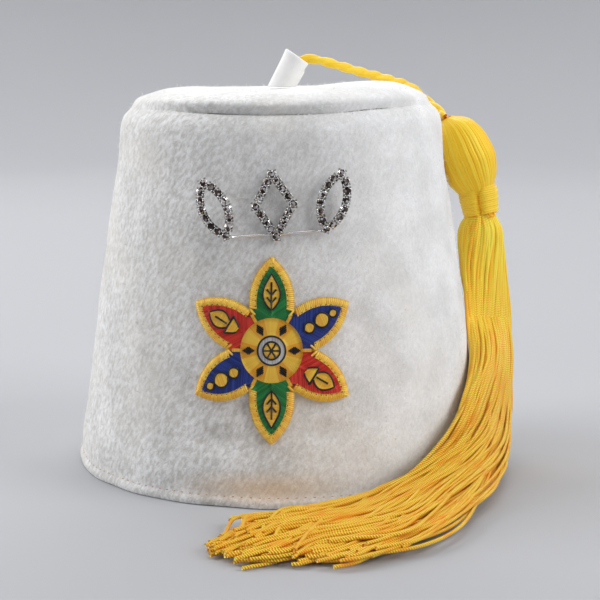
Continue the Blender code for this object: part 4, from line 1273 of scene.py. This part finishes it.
for number in range(ROSETTE_RAYS):
    turn = 2 * pi * number / ROSETTE_RAYS
    tone = 0.85 if int(turn / (2 * pi) * 2 * PETALS + 0.5) % 2 else 0.2
    sew("gold", ray(turn) * RING[0], ray(turn) * RING[1], MOTIF_LIFT, 0.2, SATIN_THREAD,
        tone + chance.uniform(-0.15, 0.15))
for across in np.arange(-RING[0] + 0.3, RING[0], SATIN_PITCH):
    half = np.sqrt(RING[0] ** 2 - across ** 2)
    sew("white", (across, -half), (across, half), MOTIF_LIFT - 0.15, 0.1, SATIN_THREAD,
        chance.uniform(0, 1))
round_line = circle(np.linspace(0, 2 * pi, 49))
black_line(round_line * RING[0], MOTIF_LIFT + 0.2)
for number in range(PETALS):        # a small black lozenge on the ring between two petals
    turn = pi / 2 + 2 * pi * (number + 0.5) / PETALS
    cross = ray(turn)[::-1] * (-1, 1)
    for step in np.linspace(-1, 1, 8):
        half = 1.5 * (1 - abs(step)) + 0.2
        at = ray(turn) * (9.2 + 2.1 * step)
        sew("black", at - cross * half, at + cross * half, MOTIF_LIFT + 0.3, 0.15, 0.3, 0.6)
for number in range(WHEEL_RAYS):
    turn = 2 * pi * number / WHEEL_RAYS
    sew("gold", ray(turn) * WHEEL[0], ray(turn) * WHEEL[1], MOTIF_LIFT + 0.1, 0.25, 0.3,
        chance.uniform(0.3, 1))
black_line(round_line * WHEEL[2], MOTIF_LIFT + 0.25)
for turn in (0.0, pi / 3, 2 * pi / 3):
    black_line(np.outer((-3.2, 0.0, 3.2), ray(turn)), MOTIF_LIFT + 0.45)

for colour, parts in thread_parts.items():
    material = embroidery_thread(f"{colour}_polyester_thread", *THREAD_COLOURS[colour])
    stitches = joined_object(f"patch_{colour}_stitches", parts, material)
    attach(stitches, "root")
    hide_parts("patch")

# Cotton twill stiffened with size, almost all covered by thread: a matt dull gold between stitches.
twill = new_material("stiff_cotton_twill", Base_Color=linear("#C98F24"), Roughness=0.85)[0]
inner_edge = np.array([on_edge(at, 0.5) for at in edge_at[:-1]])
rings = [(share, PATCH_GAP) for share in (0.02, 0.34, 0.68, 1.0)]
rings += [(share, PATCH_GAP + TWILL) for share in (1.0, 0.68, 0.34, 0.02)]
twill_points = np.vstack([on_front(inner_edge * share, lift) for share, lift in rings])
backing = object_from("patch_twill", twill_points,
                      closed_quads(len(rings), len(inner_edge))[:, ::-1], twill, smooth=False)
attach(backing, "root")
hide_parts("patch")


# --- Rhinestone pin ---------------------------------------------------------------------------
# Foiled glass stones, each gripped by four claws in a plated cup. The cups are soldered to wire
# bent into two leaves and a lozenge, and the wire to a thin bar whose pin goes through the felt.
PIN_ACROSS = -2.0
PIN_HEIGHT = 117.0
PIN_TURN = radians(-4)          # its +X end stands higher
PIN_SLOPE = radians(-8.1)       # leans back with the wall
PIN_STAND_OFF = 1.4             # mm, felt to the middle of the setting wire
STONE_PITCH = 3.6               # mm
LEAF_STONES = 7                 # stones along each side of a leaf
LEAF_HALF_ARC = 0.80            # radians, half the arc of a leaf's side
LEAF_TURN = radians(20)
LEAF_ACROSS = 23.4
LOZENGE_STONES = 4              # stones along each side of the lozenge
LOZENGE_HALF_WIDTH = 7.4        # mm
SETTING_WIRE = 0.50             # mm, radius
CUP_ROWS = [(0.1, 1.20), (0.9, 1.70), (1.30, 1.78), (1.30, 1.62), (0.6, 1.0)]   # (forward, radius)
CUP_SIDES = 12
STONE_ROWS = [(1.15, 1.60, 0.0), (1.42, 1.60, 0.0), (2.05, 1.00, 0.5)]  # and facets turned by
STONE_TILT = 0.12               # radians, how unevenly the stones sit
FACETS = 8
CLAW_ROUTE = [(0.6, 1.80), (1.60, 1.93), (2.15, 1.55)]     # (forward, from the middle), mm
CLAW_RADII = (0.35, 0.50, 0.45)     # mm, foot to tip
BAR_LENGTH = 39.0
BAR_HEIGHT = -11.3              # mm from the middle of the drawing
BAR_RADIUS = 0.55
BAR_BACK = 0.2                  # mm, its middle behind the setting wire's
PLATING_CLOUD = 1.5             # mm, size of the clouds of tarnish
PAINTED_STONE_FLASHES = [(0.45, "#645851"), (0.7, "#BDB5AF")]   # painted reflections, between the darkest facets and white

leaf_radius = LEAF_STONES * STONE_PITCH / (2 * LEAF_HALF_ARC)
turn = LEAF_HALF_ARC * (1 - 2 * np.arange(LEAF_STONES) / LEAF_STONES)
leaf_side = leaf_radius * np.stack([np.cos(turn) - cos(LEAF_HALF_ARC), np.sin(turn)], axis=1)
leaf_drawing = np.vstack([leaf_side, -leaf_side])
motifs = []
for side in (-1, 1):
    tilt = -side * LEAF_TURN
    turned_leaf = leaf_drawing @ np.array(((cos(tilt), sin(tilt)), (-sin(tilt), cos(tilt))))
    motifs.append(turned_leaf + (side * LEAF_ACROSS, 0.0))
lozenge_side = LOZENGE_STONES * STONE_PITCH
half_height = lozenge_side * sin(acos(LOZENGE_HALF_WIDTH / lozenge_side))
corners = np.array(((0, half_height), (LOZENGE_HALF_WIDTH, 0),
                    (0, -half_height), (-LOZENGE_HALF_WIDTH, 0)))
steps = np.arange(LOZENGE_STONES)[:, None] / LOZENGE_STONES
motifs.append(np.vstack([start + (end - start) * steps
                         for start, end in zip(corners, np.roll(corners, -1, axis=0))]))
pin_radius = np.interp(PIN_HEIGHT, *zip(*WALL_ROWS))
pin_place = (Matrix.Translation(settled(pin_radius + PIN_STAND_OFF, PIN_ACROSS / pin_radius, PIN_HEIGHT))
             @ Matrix.Rotation(PIN_SLOPE, 4, "X") @ Matrix.Rotation(PIN_TURN, 4, "Y"))


def on_pin(drawing, forward):
    """Points of the pin's flat drawing, so many mm in front of the setting wire, at its place."""
    drawing = np.asarray(drawing, float)
    forward = np.broadcast_to(forward, drawing.shape[:-1])
    flat = np.stack([drawing[..., 0], -forward, drawing[..., 1]], axis=-1)
    matrix = np.array(pin_place)
    return flat @ matrix[:3, :3].T + matrix[:3, 3]


# Silver plated over stamped brass: mirror bright, with faint clouds of tarnish.
silver, tree, shader = new_material("silver_plated_brass", Metallic=1.0, Roughness=0.17)
place = add_node(tree, "ShaderNodeTexCoord").outputs["Object"]
tarnish = add_node(tree, "ShaderNodeTexNoise", {
    "Vector": place, "Scale": 1 / (PLATING_CLOUD * MM), "Detail": 2.0})
plating = add_node(tree, "ShaderNodeMix", {
    0: tarnish.outputs["Fac"], 6: linear("#D9D6D0"), 7: linear("#FCFCFD")}, data_type="RGBA")
tree.links.new(plating.outputs[2], shader.inputs["Base Color"])

# Cut glass with a foil behind it. The foil mirrors the room at another angle in each of the facets; here
# that is painted: every one gets a random colour from dark and smoky to nearly white, so most are dark
# and a few are nearly white, a painted reflection.
glass, tree, shader = new_material("foiled_smoky_glass", Metallic=0.85, Roughness=0.10)
painted_flash_share = add_node(tree, "ShaderNodeAttribute", attribute_name="painted_flash_share")
flash = add_node(tree, "ShaderNodeValToRGB", {"Fac": painted_flash_share.outputs["Fac"]})
flash.color_ramp.elements[0].color = linear("#332B27")
flash.color_ramp.elements[1].color = linear("#FFFFFF")
for share, colour in PAINTED_STONE_FLASHES:
    flash.color_ramp.elements.new(share).color = linear(colour)
tree.links.new(flash.outputs["Color"], shader.inputs["Base Color"])

chance = np.random.default_rng(61)
setting_parts, stone_points, stone_faces, first = [], [], [], 0
for motif in motifs:
    loop = np.vstack([motif, motif[:1]])
    setting_parts.append(
        tube_part(on_pin(smooth_path(loop, 1.2), 0.0), SETTING_WIRE, 6, (0.0, 1.0, 0.0)))
    ahead = np.roll(motif, -1, axis=0) - np.roll(motif, 1, axis=0)
    for centre, heading in zip(motif, np.arctan2(ahead[:, 1], ahead[:, 0])):
        ring = circle(2 * pi * np.arange(CUP_SIDES) / CUP_SIDES)
        cup = np.vstack([on_pin(centre + radius * ring, forward) for forward, radius in CUP_ROWS])
        setting_parts.append(
            (cup, grid_quads(len(CUP_ROWS), CUP_SIDES, True), np.zeros((len(cup), 4))))
        for quarter in range(4):
            aside = ray(heading + pi / 4 + quarter * pi / 2)
            route = np.vstack([on_pin((centre + radius * aside)[None], forward)
                               for forward, radius in CLAW_ROUTE])
            setting_parts.append(tube_part(route, CLAW_RADII, 6, (0.3, 0.2, 1.0)))
        spun = 2 * pi * (np.arange(FACETS) + chance.uniform()) / FACETS
        tilt = chance.normal(0, STONE_TILT, 2)
        for forward, radius, turned_by in STONE_ROWS:
            ring = radius * circle(spun + 2 * pi / FACETS * turned_by)
            stone_points.append(on_pin(centre + ring, forward + ring @ tilt))
        stone_points.append(on_pin(centre[None], STONE_ROWS[-1][0]))
        i = np.arange(FACETS)
        j = (i + 1) % FACETS
        girdle, crown, table, middle = first, first + FACETS, first + 2 * FACETS, first + 3 * FACETS
        stone_faces += [np.stack([girdle + i, crown + i, girdle + j], axis=1),
                        np.stack([girdle + j, crown + i, crown + j], axis=1),
                        np.stack([crown + i, table + i, crown + j], axis=1),
                        np.stack([crown + j, table + i, table + j], axis=1),
                        np.stack([table + i, np.full(FACETS, middle), table + j], axis=1)]
        first += 3 * FACETS + 1
bar_ends = np.array(((-BAR_LENGTH / 2, BAR_HEIGHT), (BAR_LENGTH / 2, BAR_HEIGHT)))
setting_parts.append(
    tube_part(on_pin(np.linspace(*bar_ends, 6), -BAR_BACK), BAR_RADIUS, 10, (0.0, 1.0, 0.0)))
pin_setting = joined_object("pin_setting", setting_parts, silver)
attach(pin_setting, "root")
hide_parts("rhinestone_pin")

stones = object_from("rhinestones", np.vstack(stone_points), np.vstack(stone_faces), glass,
                     smooth=False)
# Each of the facets gets its painted reflection at random.
facets = stones.data.attributes.new("painted_flash_share", "FLOAT", "FACE")
flashes = np.repeat(chance.beta(0.6, 0.7, len(stones.data.polygons) // 2), 2)
facets.data.foreach_set("value", flashes.astype(np.float32))
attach(stones, "root")
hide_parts("rhinestone_pin")
